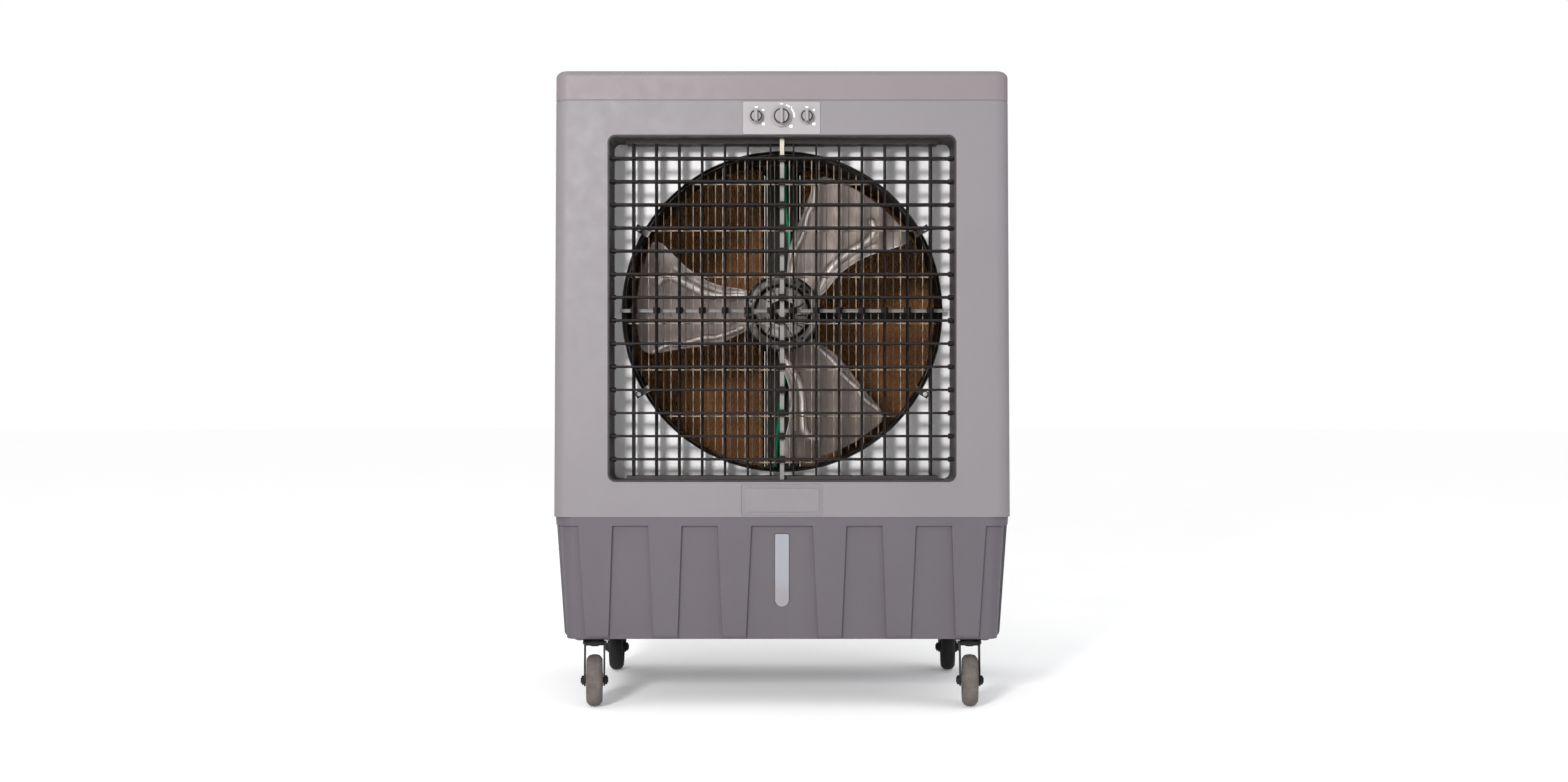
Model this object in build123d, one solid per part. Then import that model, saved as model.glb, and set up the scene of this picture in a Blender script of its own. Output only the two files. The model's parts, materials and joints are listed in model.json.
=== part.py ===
"""Portable evaporative cooler on four swivel casters.

Frame: +Z up, +X to the right seen from the front, the front faces -Y.
Origin: on the floor under the middle of the overall box. All sizes are millimetres.
Depths called "back" are measured rearwards from the outer face of the front wall.
"""
import os
from math import atan, cos, degrees, radians, sin, sqrt, tan

from build123d import *

# ---- overall ----
DEPTH = 620
BASE_WIDTH = 972
TOP_WIDTH = 963
CASTER_HEIGHT = 148
TANK_HEIGHT = 262
HOUSING_HEIGHT = 880
COVER_HEIGHT = 66
WALL = 4
CORNER_R = 30
PANEL_RETURN = CORNER_R + 4
KNOB_REACH = 26
GAP = 0.3

FRONT = KNOB_REACH - (DEPTH + KNOB_REACH) / 2
REAR = FRONT + DEPTH
TANK_TOP = CASTER_HEIGHT + TANK_HEIGHT
HOUSING_TOP = TANK_TOP + HOUSING_HEIGHT
OVERALL_HEIGHT = HOUSING_TOP + COVER_HEIGHT

# ---- outlet, louvers and their links ----
OUTLET_WIDTH = 738
OUTLET_HEIGHT = 735
OUTLET_Z = TANK_TOP + 441.5
OUTLET_R = 17
SLEEVE_WALL = 3
SLEEVE_DEPTH = 102
LOUVER_COUNT = 14
LOUVER_PITCH = OUTLET_WIDTH / 15
RUNNING = 0.06

LEVEL_CHORD = 28
LEVEL_THICK = 5
LEVEL_BACK = 21
LEVEL_STUB_R = 4
LEVEL_PIN_REACH = 11
UPRIGHT_CHORD = 46
UPRIGHT_THICK = 4
UPRIGHT_BACK = 64
UPRIGHT_STUB_R = 3
UPRIGHT_PIN_REACH = 18
RAIL_HALF = 334
RAIL_THICK = 8
LINK_PIN_R = 1.6
LINK_DEPTH = 6
LINK_WIDTH = 9
LEVEL_LINK_HALF = 351
UPRIGHT_LINK_HALF = 363.5
LINK_NOTCH = 16
EYE_R = 10.5
EYE_BACK = 36.3
EYE_THICK = 3
LINK_PIN_HALF = 6.5
LINK_SLOT_HALF = 5.6
OPEN_PIVOT_GAP = 0.25
CLIP_SIZE = 15
CLIP_R = 2.4
SLEEVE_FIT = 0.2
SLEEVE_HOLE_WIDTH = OUTLET_WIDTH - 2 * SLEEVE_FIT - 2 * SLEEVE_WALL
SLEEVE_HOLE_HEIGHT = OUTLET_HEIGHT - 2 * SLEEVE_FIT - 2 * SLEEVE_WALL

# ---- shroud, guard and fan ----
ORIFICE_R = 349
BARREL_WALL = 3
SHROUD_BACK = SLEEVE_DEPTH + 3
SHROUD_THICK = 3
SHROUD_WIDTH = 900
SHROUD_HEIGHT = 820
BARREL_END = 275
BARREL_FLANGE = 24
SHROUD_SECTORS = 12
GUARD_R = 343
GUARD_RING_THICK = 4
GUARD_SECTORS = 16
GUARD_WIRE_R = 1.2
GUARD_PITCH = 16.2
GUARD_BAR_R = 1.6
GUARD_BAR_PITCH = 101.5
GUARD_BAR_SHIFT = -26
TAB_ANGLES = (30, 150, 210, 330)
TAB_HOLE_R = 2.6
TAB_HOLE_REACH = GUARD_R + 18
FAN_R = 333
FAN_BACK = 140
HUB_R = 84
HUB_DEPTH = 126
HUB_WALL = 4
RING_R = 62
BOSS_R = 26
BLADE_BACK = 225
BLADE_ROOT_R = 68
SHAFT_R = 11
BLADE_ANGLES = (54, 174, 294)
BLADE_HALF_ANGLE = 24
BLADE_THICK = 2.5
BLADE_RISE = 58
BLADE_CAMBER = 16
MOTOR_R = 78
MOTOR_LENGTH = 150
BRACKET_BACK = BARREL_END + 4
BRACKET_SHEET = 4
ARM_HALF = 8
ARM_DEPTH = 10

# ---- tank ----
TANK_TOP_WIDTH = 970
TANK_BASE_WIDTH = 938
FLUTE_DEPTH = 8
RIM_BAND = 19
FLUTE_PITCH = 147
FLUTE_FLARE = 14
FLUTE_HALVES = (38, 48)
MIDDLE_FLUTE_HALVES = (65, 77)
FLUTE_SHIFT = 27.5
WINDOW_WIDTH = 30
WINDOW_Z = CASTER_HEIGHT + 148
CORNER_FLUTE_X = 432
CORNER_FLUTE_Y = 257

# ---- panel ----
PANEL_WIDTH = 163
PANEL_HEIGHT = 69
PANEL_THICK = 2
PANEL_X = -1
KNOB_SPACING = 53.5
KNOB_SHAFT_R = 4
SIDE_KNOB = (15.6, 12.7)
MIDDLE_KNOB = (22, 16.5)
LABEL_WIDTH = 173
LABEL_HEIGHT = 68
LABEL_Z = TANK_TOP + 36

# ---- rear ----
POST_HALF = 38
POST_BACK = 496
POST_SHEET = 3
PAD_THICK = 100
PAD_HALF_WIDTH = 198
PAD_LOW = TANK_TOP + 42
PAD_HIGH = HOUSING_TOP - 62
PAD_MID_X = POST_HALF + 6 + PAD_HALF_WIDTH
GRILLE_DEPTH = 18
GRILLE_RIM = 16
SLAT_PITCH = 42
SLAT_SLOPE = 35
TROUGH_FRONT = 510
TROUGH_REAR = 590
TROUGH_HEIGHT = 40
TROUGH_WALL = 3
CORD_HOLE_R = 8
CORD_HOLE_X = 430
CORD_HOLE_Z = TANK_TOP + 20
HOSE_R = 5.8
HOSE_X = 6
HOSE_BACK = 485.5
PUMP_OUTLET_X = -22
PUMP_BACK = 468
PUMP_OUTLET_Z = CASTER_HEIGHT + 96

# ---- casters ----
CASTER_X = 407
CASTER_INSET = 88
WHEEL_R = 55
WHEEL_WIDTH = 34
TRAIL = 30
AXLE_R = 6
AXLE_BOSS_R = 13
FORK_SHEET = 3.5
PLATE_SCREW_X = 29
PLATE_SCREW_Y = 36
CASTERS = {
    "front_left": (-1, -1, 6),
    "front_right": (1, -1, -5),
    "rear_left": (-1, 1, 3),
    "rear_right": (1, 1, -4),
}

PARTS = {}


def y_at(back):
    """Y of a plane that lies a given depth behind the front face."""
    return FRONT + back


def side_x(z):
    """Half width of the housing and cover at a height."""
    lean = (TOP_WIDTH - BASE_WIDTH) / 2 / HOUSING_HEIGHT
    return BASE_WIDTH / 2 + lean * (z - TANK_TOP)


def upright_edges(shape):
    """Edges that run mostly up and down."""
    return shape.edges().filter_by(lambda e: abs((e % 0.5).Z) > 0.9)


def leaning_block(z_low, z_high, inset, radius):
    """Closed block with the housing's leaning sides, set in from its faces."""
    low = side_x(z_low) - inset
    high = side_x(z_high) - inset
    outline = Polygon((-low, z_low), (low, z_low), (high, z_high), (-high, z_high), align=None)
    block = extrude(Plane.XZ * outline, amount=DEPTH - 2 * inset)
    block = Pos(0, REAR - inset, 0) * block
    return fillet(upright_edges(block), radius) if radius else block


def bar(x0, x1, y0, y1, z0, z1):
    """Straight block between two corners."""
    centre = Pos((x0 + x1) / 2, (y0 + y1) / 2, (z0 + z1) / 2)
    return centre * Box(abs(x1 - x0), abs(y1 - y0), abs(z1 - z0))


def front_plate(width, height, back, thick, radius, x=0.0, z=OUTLET_Z):
    """Rounded plate parallel to the front face, from one depth to a deeper one."""
    sketch = RectangleRounded(width, height, radius)
    return Pos(x, y_at(back), z) * extrude(Plane.XZ * sketch, amount=-thick)


def rod_x(radius, x0, x1, y, z):
    """Round rod along X."""
    return Pos((x0 + x1) / 2, y, z) * Rot(0, 90, 0) * Cylinder(radius, x1 - x0)


def rod_y(radius, back0, back1, x=0.0, z=OUTLET_Z):
    """Round rod along Y between two depths."""
    return Pos(x, y_at((back0 + back1) / 2), z) * Rot(90, 0, 0) * Cylinder(radius, back1 - back0)


def rod_z(radius, z0, z1, x, y):
    """Round rod along Z."""
    return Pos(x, y, (z0 + z1) / 2) * Cylinder(radius, z1 - z0)


def louver_offsets():
    """Centre offsets of the louvers from the middle of the outlet."""
    return [LOUVER_PITCH * (i - (LOUVER_COUNT - 1) / 2) for i in range(LOUVER_COUNT)]


# ---- casings ----
def housing_walls():
    """Four walls in one ring, with the outlet, the label groove, the rear windows and the cord boss."""
    walls = leaning_block(TANK_TOP, HOUSING_TOP, 0, CORNER_R)
    walls -= leaning_block(TANK_TOP - 1, HOUSING_TOP + 1, WALL, CORNER_R - WALL)
    walls -= front_plate(OUTLET_WIDTH, OUTLET_HEIGHT, -1, WALL + 2, OUTLET_R)
    groove = front_plate(LABEL_WIDTH, LABEL_HEIGHT, -1, 3, 5, z=LABEL_Z)
    groove -= front_plate(LABEL_WIDTH - 16, LABEL_HEIGHT - 18, -2, 5, 3, z=LABEL_Z)
    walls -= groove
    for side in (-1, 1):
        mid = side * PAD_MID_X
        walls -= bar(mid - PAD_HALF_WIDTH, mid + PAD_HALF_WIDTH, REAR - 2 * WALL, REAR + 1, PAD_LOW, PAD_HIGH)
    walls += rod_y(2 * CORD_HOLE_R, DEPTH - 12, DEPTH, x=CORD_HOLE_X, z=CORD_HOLE_Z)
    walls -= rod_y(CORD_HOLE_R, DEPTH - 20, DEPTH + 5, x=CORD_HOLE_X, z=CORD_HOLE_Z)
    for place in (-1, 0, 1):
        walls -= rod_y(KNOB_SHAFT_R + RUNNING, -5, 10, x=knob_x(place), z=knob_z())
    return walls


def rear_post():
    """Front web and two side webs of the hollow post between the pads."""
    low = TANK_TOP + 1
    high = HOUSING_TOP - 1
    web_back = POST_BACK + POST_SHEET
    webs = [bar(-POST_HALF, POST_HALF, y_at(POST_BACK), y_at(web_back), low, high)]
    for side in (-1, 1):
        x0 = side * POST_HALF
        webs.append(bar(x0, x0 - side * POST_SHEET, y_at(web_back), REAR - WALL, low, high))
    return webs


def pad_shelf(side):
    """Shelf under one pad, with a row of drain slots."""
    outer = leaning_block(PAD_LOW - 6, PAD_LOW, WALL, CORNER_R - WALL)
    inner = side * POST_HALF
    reach = side * BASE_WIDTH / 2
    shelf = outer & bar(inner, reach, y_at(POST_BACK), REAR - WALL, PAD_LOW - 5, PAD_LOW - 1)
    for step in range(-3, 4):
        slot = Box(30, 60, 10)
        shelf -= Pos(side * PAD_MID_X + step * 50, y_at(POST_BACK + 52), PAD_LOW - 3) * slot
    return shelf


def housing_shell():
    """Casing of panels that meet edge to edge: front, two sides, rear, rear post and pad shelves."""
    walls = housing_walls()
    wide = BASE_WIDTH
    front_seam = y_at(PANEL_RETURN)
    rear_seam = REAR - PANEL_RETURN
    panels = [
        walls & bar(-wide, wide, FRONT - 1, front_seam, TANK_TOP, HOUSING_TOP),
        walls & bar(-wide, 0, front_seam, rear_seam, TANK_TOP, HOUSING_TOP),
        walls & bar(0, wide, front_seam, rear_seam, TANK_TOP, HOUSING_TOP),
        walls & bar(-wide, wide, rear_seam, REAR + 1, TANK_TOP, HOUSING_TOP),
    ]
    panels += rear_post()
    panels += [pad_shelf(-1), pad_shelf(1)]
    return Compound(children=panels)


def top_edges(shape):
    """Edges round the highest face."""
    return shape.edges().group_by(Axis.Z)[-1]


def top_cover():
    """Shallow lid with rounded upper edges, over a set-back seam."""
    seam = 3
    edge_r = 14
    lid = leaning_block(HOUSING_TOP + seam, OVERALL_HEIGHT, 0, CORNER_R)
    lid = fillet(top_edges(lid), edge_r)
    lid += leaning_block(HOUSING_TOP, HOUSING_TOP + seam + 1, 1.5, CORNER_R - 1.5)
    inside = leaning_block(HOUSING_TOP - 1, OVERALL_HEIGHT - WALL, WALL, CORNER_R - WALL)
    lid -= fillet(top_edges(inside), edge_r - WALL)
    return lid


def tank_block(inset, floor, z_top=TANK_TOP):
    """Closed block with the tank's leaning walls, set in from its faces, above a floor."""
    lean = degrees(atan((TANK_TOP_WIDTH - TANK_BASE_WIDTH) / 2 / TANK_HEIGHT))
    narrowing = TANK_TOP_WIDTH - TANK_BASE_WIDTH
    width = TANK_BASE_WIDTH - 2 * inset
    depth = DEPTH - 2 - narrowing - 2 * inset
    growth = 2 * (floor - CASTER_HEIGHT) * tan(radians(lean))
    sketch = RectangleRounded(width + growth, depth + growth, CORNER_R - inset)
    block = extrude(sketch, amount=z_top - floor, taper=-lean)
    return Pos(0, y_at(DEPTH / 2), floor) * block


def flute_prism(plane, corner, centres):
    """Prism across the tank: flutes that widen downwards, and the two corner set-backs."""
    low = CASTER_HEIGHT - 1
    high = TANK_TOP - RIM_BAND
    reach = TANK_TOP_WIDTH
    outline = Sketch()
    for centre, top, base in centres:
        points = ((centre - base, low), (centre + base, low), (centre + top, high), (centre - top, high))
        outline += Polygon(*points, align=None)
    for side in (-1, 1):
        inner = side * (corner - FLUTE_FLARE)
        points = ((inner, low), (side * reach, low), (side * reach, high), (side * corner, high))
        outline += Polygon(*points, align=None)
    return Pos(0, y_at(DEPTH / 2), 0) * extrude(plane * outline, amount=reach, both=True)


def flute_region():
    """Where the walls are set back, on the front and rear and on the two sides."""
    front = [(0, *MIDDLE_FLUTE_HALVES)]
    sides = [(0, *FLUTE_HALVES)]
    for side in (-1, 1):
        for step in (1, 2):
            front.append((side * (step * FLUTE_PITCH + FLUTE_SHIFT), *FLUTE_HALVES))
        sides.append((side * FLUTE_PITCH, *FLUTE_HALVES))
    centre = Pos(0, y_at(DEPTH / 2), TANK_TOP / 2)
    tall = 2 * TANK_TOP
    wide = 3 * TANK_TOP_WIDTH
    region = flute_prism(Plane.XZ, CORNER_FLUTE_X, front) - centre * Box(wide, 2 * CORNER_FLUTE_Y, tall)
    region += flute_prism(Plane.YZ, CORNER_FLUTE_Y, sides) - centre * Box(2 * CORNER_FLUTE_X, wide, tall)
    return region


def window_shape(back_of_floor, thick):
    """Upright strip with a round foot, parallel to the floor of the middle flute."""
    lean = atan((TANK_TOP_WIDTH - TANK_BASE_WIDTH) / 2 / TANK_HEIGHT)
    y_wall = y_at(1) + (TANK_TOP - WINDOW_Z) * tan(lean) + FLUTE_DEPTH / cos(lean)
    plane = Plane(origin=(0, y_wall, WINDOW_Z), x_dir=(1, 0, 0), z_dir=(0, -cos(lean), -sin(lean)))
    sketch = Pos(0, 7) * RectangleRounded(WINDOW_WIDTH, 142, 5) + Pos(0, -63) * Circle(WINDOW_WIDTH / 2)
    return extrude(plane.offset(-back_of_floor) * sketch, amount=thick)


def water_tank():
    """Open tank with tapered flutes, a plain rim band and a slot for the level window."""
    tank = tank_block(0, CASTER_HEIGHT)
    tank = fillet(tank.edges().group_by(Axis.Z)[0], 12)
    flutes = (tank_block(0, CASTER_HEIGHT) - tank_block(FLUTE_DEPTH, CASTER_HEIGHT)) & flute_region()
    tank -= flutes
    tank -= tank_block(FLUTE_DEPTH + WALL, CASTER_HEIGHT + WALL + 1, TANK_TOP + 1)
    tank -= window_shape(WALL + 2, WALL + 8)
    return tank


def level_window():
    """Translucent strip that fills its slot and stands a little proud."""
    return window_shape(WALL, WALL + 3)


# ---- outlet ----
def louver_frame():
    """Sleeve that lines the outlet and carries both sets of louver pivots."""
    fit = SLEEVE_FIT
    frame = front_plate(OUTLET_WIDTH - 2 * fit, OUTLET_HEIGHT - 2 * fit, 3, SLEEVE_DEPTH, OUTLET_R - fit)
    hole = (SLEEVE_HOLE_WIDTH, SLEEVE_HOLE_HEIGHT)
    frame -= front_plate(*hole, 2, SLEEVE_DEPTH + 2, OUTLET_R - SLEEVE_WALL)
    rail_low = SLEEVE_HOLE_HEIGHT / 2 - RAIL_THICK
    for side in (-1, 1):
        z0 = OUTLET_Z + side * rail_low
        z1 = OUTLET_Z + side * (SLEEVE_HOLE_HEIGHT / 2 + 1)
        frame += bar(-RAIL_HALF, RAIL_HALF, y_at(UPRIGHT_BACK - 19), y_at(UPRIGHT_BACK + 19), z0, z1)
    link_back = LEVEL_BACK + LEVEL_PIN_REACH
    reach = OUTLET_HEIGHT / 2 + 1
    notch_y0 = y_at(link_back - LINK_NOTCH / 2)
    notch_y1 = y_at(link_back + LINK_NOTCH / 2)
    frame -= bar(-LINK_NOTCH / 2, LINK_NOTCH / 2, notch_y0, notch_y1, OUTLET_Z - reach, OUTLET_Z + reach)
    half = OUTLET_WIDTH / 2 + 1
    for offset in louver_offsets():
        y = y_at(LEVEL_BACK)
        frame -= rod_x(LEVEL_STUB_R + RUNNING, -half, half, y, OUTLET_Z + offset)
        for side in (-1, 1):
            z0 = OUTLET_Z + side * (rail_low - 1)
            z1 = OUTLET_Z + side * (rail_low + 7)
            frame -= rod_z(UPRIGHT_STUB_R + RUNNING, min(z0, z1), max(z0, z1), offset, y_at(UPRIGHT_BACK))
    return frame


def horizontal_louver():
    """Level blade about its pivot on the X axis, with end stubs, clip and link pin."""
    half = OUTLET_WIDTH / 2 - 6.5
    section = RectangleRounded(LEVEL_CHORD, LEVEL_THICK, LEVEL_THICK * 0.45)
    blade = extrude(Plane.YZ * section, amount=half, both=True)
    slot_start = LEVEL_PIN_REACH - 7
    blade -= bar(-LINK_SLOT_HALF, LINK_SLOT_HALF, slot_start, LEVEL_CHORD, -LEVEL_THICK, LEVEL_THICK)
    clip = bar(-CLIP_SIZE / 2, CLIP_SIZE / 2, -6, 1, -CLIP_SIZE / 2, CLIP_SIZE / 2)
    blade += fillet(clip.edges().filter_by(Axis.X), CLIP_R)
    blade += rod_x(LINK_PIN_R, -LINK_PIN_HALF, LINK_PIN_HALF, LEVEL_PIN_REACH, 0)
    for side in (-1, 1):
        inner = side * (half - 9)
        outer = side * half
        stub_end = side * (OUTLET_WIDTH / 2 + 1.5)
        blade += rod_x(LEVEL_STUB_R, min(outer, stub_end), max(outer, stub_end), 0, 0)
        blade += rod_x(LEVEL_STUB_R + 1.6, min(inner, outer), max(inner, outer), 0, 0)
    return blade


def vertical_louver():
    """Upright blade about its pivot on the Z axis, with end stubs, clip and link pin."""
    half = SLEEVE_HOLE_HEIGHT / 2 - RAIL_THICK - 0.6
    section = RectangleRounded(UPRIGHT_THICK, UPRIGHT_CHORD, UPRIGHT_THICK * 0.45)
    blade = extrude(section, amount=half, both=True)
    slot_start = UPRIGHT_PIN_REACH - 6.5
    slot_half = LINK_SLOT_HALF
    blade -= bar(-UPRIGHT_THICK, UPRIGHT_THICK, slot_start, UPRIGHT_CHORD, -slot_half, slot_half)
    clip = bar(-CLIP_SIZE / 2, CLIP_SIZE / 2, -3, 7, -CLIP_SIZE / 2 + 1, CLIP_SIZE / 2 - 1)
    blade += fillet(clip.edges().filter_by(Axis.Z), CLIP_R)
    blade += rod_z(LINK_PIN_R, -LINK_PIN_HALF, LINK_PIN_HALF, 0, UPRIGHT_PIN_REACH)
    for side in (-1, 1):
        z0 = side * half
        z1 = side * (half + 6)
        blade += rod_z(UPRIGHT_STUB_R, min(z0, z1), max(z0, z1), 0, 0)
    return blade


def horizontal_louver_link():
    """Upright bar behind the level blades, with a bore at each link pin and an eye behind one blade."""
    y = y_at(LEVEL_BACK + LEVEL_PIN_REACH)
    x = LINK_WIDTH / 2
    z0 = OUTLET_Z - UPRIGHT_LINK_HALF
    z1 = OUTLET_Z + UPRIGHT_LINK_HALF
    link = bar(-x, x, y - LINK_DEPTH / 2, y + LINK_DEPTH / 2, z0, z1)
    eye_z = OUTLET_Z + 1.5 * LOUVER_PITCH
    link += rod_y(EYE_R, EYE_BACK, EYE_BACK + EYE_THICK, z=eye_z)
    link += rod_y(x - 0.5, EYE_BACK - LINK_DEPTH / 2, EYE_BACK + 1, z=eye_z)
    for offset in louver_offsets():
        link -= rod_x(LINK_PIN_R + OPEN_PIVOT_GAP, -20, 20, y, OUTLET_Z + offset)
    return link


def vertical_louver_link():
    """Level bar behind the upright blades, with a bore at each link pin."""
    half = LEVEL_LINK_HALF
    y = y_at(UPRIGHT_BACK + UPRIGHT_PIN_REACH)
    z = LINK_WIDTH / 2 - 0.75
    link = bar(-half, half, y - LINK_DEPTH / 2, y + LINK_DEPTH / 2, OUTLET_Z - z, OUTLET_Z + z)
    for offset in louver_offsets():
        link -= rod_z(LINK_PIN_R + OPEN_PIVOT_GAP, OUTLET_Z - 20, OUTLET_Z + 20, offset, y)
    return link


def louvers():
    """All louvers at their places, and the two link bars."""
    level = horizontal_louver()
    upright = vertical_louver()
    for number, offset in enumerate(louver_offsets(), start=1):
        PARTS[f"horizontal_louver_{number:02d}"] = Pos(0, y_at(LEVEL_BACK), OUTLET_Z + offset) * level
        PARTS[f"vertical_louver_{number:02d}"] = Pos(offset, y_at(UPRIGHT_BACK), OUTLET_Z) * upright
    PARTS["horizontal_louver_link"] = horizontal_louver_link()
    PARTS["vertical_louver_link"] = vertical_louver_link()


# ---- fan ----
def sectors(shape, count, front, back):
    """Slices of a shape about the fan's axis, between two depths, that meet face to face."""
    reach = SHROUD_WIDTH
    span = 360 / count
    slices = []
    for step in range(count):
        corners = [(0, 0)]
        for angle in ((step - 0.5) * span, (step + 0.5) * span):
            corners.append((reach * cos(radians(angle)), reach * sin(radians(angle))))
        wedge = extrude(Plane.XZ * Polygon(*corners, align=None), amount=front - back)
        slices.append(shape & (Pos(0, y_at(front), OUTLET_Z) * wedge))
    return slices


def fan_shroud():
    """Plate behind the sleeve with a round orifice and the barrel round the fan, in welded sectors."""
    plate = front_plate(SHROUD_WIDTH, SHROUD_HEIGHT, SHROUD_BACK, SHROUD_THICK, 12)
    plate += rod_y(ORIFICE_R + BARREL_WALL, SHROUD_BACK + 1, BARREL_END)
    plate += rod_y(ORIFICE_R + BARREL_FLANGE, BARREL_END - BARREL_WALL, BARREL_END)
    plate -= rod_y(ORIFICE_R, SHROUD_BACK - 1, BARREL_END + 1)
    for angle in TAB_ANGLES:
        x = TAB_HOLE_REACH * cos(radians(angle))
        z = OUTLET_Z + TAB_HOLE_REACH * sin(radians(angle))
        plate -= rod_y(TAB_HOLE_R, SHROUD_BACK - 1, SHROUD_BACK + SHROUD_THICK + 1, x=x, z=z)
    return Compound(children=sectors(plate, SHROUD_SECTORS, SHROUD_BACK - 1, BARREL_END + 1))


def chord_half(offset, radius):
    """Half length of a straight wire that crosses a circle at an offset from its centre."""
    return sqrt(radius ** 2 - offset ** 2)


def fan_guard():
    """Wire guard: a ring, fine upright wires, a few level wires behind them and four tabs."""
    ring_r = GUARD_RING_THICK / 2
    ring_back = SHROUD_BACK + ring_r
    upright_back = ring_back + ring_r + GUARD_WIRE_R
    level_back = upright_back + GUARD_WIRE_R + GUARD_BAR_R
    ring = Pos(0, y_at(ring_back), OUTLET_Z) * Rot(90, 0, 0) * Torus(GUARD_R, ring_r)
    wires = sectors(ring, GUARD_SECTORS, ring_back - GUARD_RING_THICK, ring_back + GUARD_RING_THICK)
    count = int(GUARD_R / GUARD_PITCH)
    for step in range(-count, count + 1):
        x = step * GUARD_PITCH
        half = chord_half(x, GUARD_R + 1)
        wires.append(rod_z(GUARD_WIRE_R, OUTLET_Z - half, OUTLET_Z + half, x, y_at(upright_back)))
    for step in range(-3, 4):
        z = step * GUARD_BAR_PITCH + GUARD_BAR_SHIFT
        if abs(z) < GUARD_R - 12:
            half = chord_half(z, GUARD_R + 1)
            wires.append(rod_x(GUARD_BAR_R, -half, half, y_at(level_back), OUTLET_Z + z))
    for angle in TAB_ANGLES:
        tab = Box(34, 2, 14) - Pos(9, 0, 0) * Rot(90, 0, 0) * Cylinder(TAB_HOLE_R, 10)
        place = Pos(0, y_at(SHROUD_BACK - 1), OUTLET_Z) * Rot(0, -angle, 0) * Pos(TAB_HOLE_REACH - 9, 0, 0)
        wires.append(place * tab)
    return Compound(children=wires)


def blade_solid(angle):
    """One broad cambered blade about the fan axis, in front view a sector."""
    reach = FAN_R + 5
    lateral = reach * sin(radians(BLADE_HALF_ANGLE)) + 12
    rise = BLADE_RISE / 2
    start = (-lateral, rise)
    end = (lateral, -rise)
    front = ThreePointArc(start, (0, -BLADE_CAMBER), end)
    back_start = (-lateral, rise + BLADE_THICK)
    back_end = (lateral, -rise + BLADE_THICK)
    back = ThreePointArc(back_end, (0, BLADE_THICK - BLADE_CAMBER), back_start)
    section = make_face([front, Line(end, back_end), back, Line(back_start, start)])
    sheet = extrude(Plane(origin=(0, 0, 0), x_dir=(0, 0, 1), z_dir=(1, 0, 0)) * section, amount=reach)
    sector = Circle(FAN_R) - Circle(BLADE_ROOT_R)
    wedge_reach = 2 * FAN_R
    edge = wedge_reach * tan(radians(BLADE_HALF_ANGLE))
    wedge = Polygon((0, -6), (wedge_reach, -edge), (wedge_reach, edge), (0, 6), align=None)
    outline = fillet((sector & wedge).vertices().filter_by_position(Axis.X, 200, 400), 24)
    prism = extrude(Plane.XZ * outline, amount=120, both=True)
    blade = sheet & prism
    return Pos(0, y_at(BLADE_BACK), OUTLET_Z) * Rot(0, -angle, 0) * blade


def fan_blades():
    """Three blades."""
    return Compound(children=[blade_solid(angle) for angle in BLADE_ANGLES])


def fan_hub(blades):
    """Cup that grips the blades' roots, with a raised ring, a boss and the motor's shaft in a sleeve."""
    rear = FAN_BACK + HUB_DEPTH
    hub = rod_y(HUB_R, FAN_BACK + 4, rear)
    hub -= rod_y(HUB_R - HUB_WALL, FAN_BACK + 4 + HUB_WALL, rear + 1)
    hub += rod_y(RING_R, FAN_BACK + 1, FAN_BACK + 5) - rod_y(RING_R - 6, FAN_BACK, FAN_BACK + 5)
    hub += rod_y(BOSS_R, FAN_BACK - 2, FAN_BACK + 5)
    hub += rod_y(2 * SHAFT_R, FAN_BACK + 5, rear - 10)
    hub += rod_y(SHAFT_R, FAN_BACK - 12, BRACKET_BACK + 40)
    for blade in blades.solids():
        hub -= blade
    return hub


def motor():
    """Round motor with end caps, a junction box and a blind bore for its shaft."""
    start = BRACKET_BACK + BRACKET_SHEET
    end = start + MOTOR_LENGTH
    body = rod_y(MOTOR_R, start + 22, end - 22)
    body += rod_y(MOTOR_R - 4, start, end)
    body += bar(-34, 34, y_at(start + 40), y_at(end - 40), OUTLET_Z + MOTOR_R - 12, OUTLET_Z + MOTOR_R + 26)
    body -= rod_y(SHAFT_R + RUNNING, start - 1, start + 40)
    return body


def motor_bracket():
    """Round plate on one level arm that reaches the barrel's rear flange on both sides."""
    arm_reach = chord_half(ARM_HALF, ORIFICE_R + 18)
    z0 = OUTLET_Z - ARM_HALF
    z1 = OUTLET_Z + ARM_HALF
    plate = rod_y(MOTOR_R + 12, BRACKET_BACK, BRACKET_BACK + BRACKET_SHEET)
    for side in (-1, 1):
        inner = side * (MOTOR_R + 2)
        outer = side * arm_reach
        plate += bar(inner, outer, y_at(BRACKET_BACK), y_at(BRACKET_BACK + ARM_DEPTH), z0, z1)
        plate += bar(outer - side * 14, outer, y_at(BARREL_END), y_at(BRACKET_BACK + 1), z0, z1)
    plate -= rod_y(SHAFT_R + 3, BRACKET_BACK - 1, BRACKET_BACK + BRACKET_SHEET + 1)
    return plate


# ---- controls ----
def panel_z():
    """Height of the control panel's middle."""
    return HOUSING_TOP - PANEL_HEIGHT / 2 - 1.5


def knob_x(place):
    """X of a knob: -1, 0 or 1 from left to right."""
    return PANEL_X + place * KNOB_SPACING


def knob_z():
    """Height of the knobs' axes."""
    return panel_z() + 2


def control_panel():
    """Thin plate on the front wall with three holes for the knobs' shafts."""
    plate = front_plate(PANEL_WIDTH, PANEL_HEIGHT, -PANEL_THICK, PANEL_THICK, 4, x=PANEL_X, z=panel_z())
    for place in (-1, 0, 1):
        plate -= rod_y(KNOB_SHAFT_R + RUNNING, -10, 10, x=knob_x(place), z=knob_z())
    return plate


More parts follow.
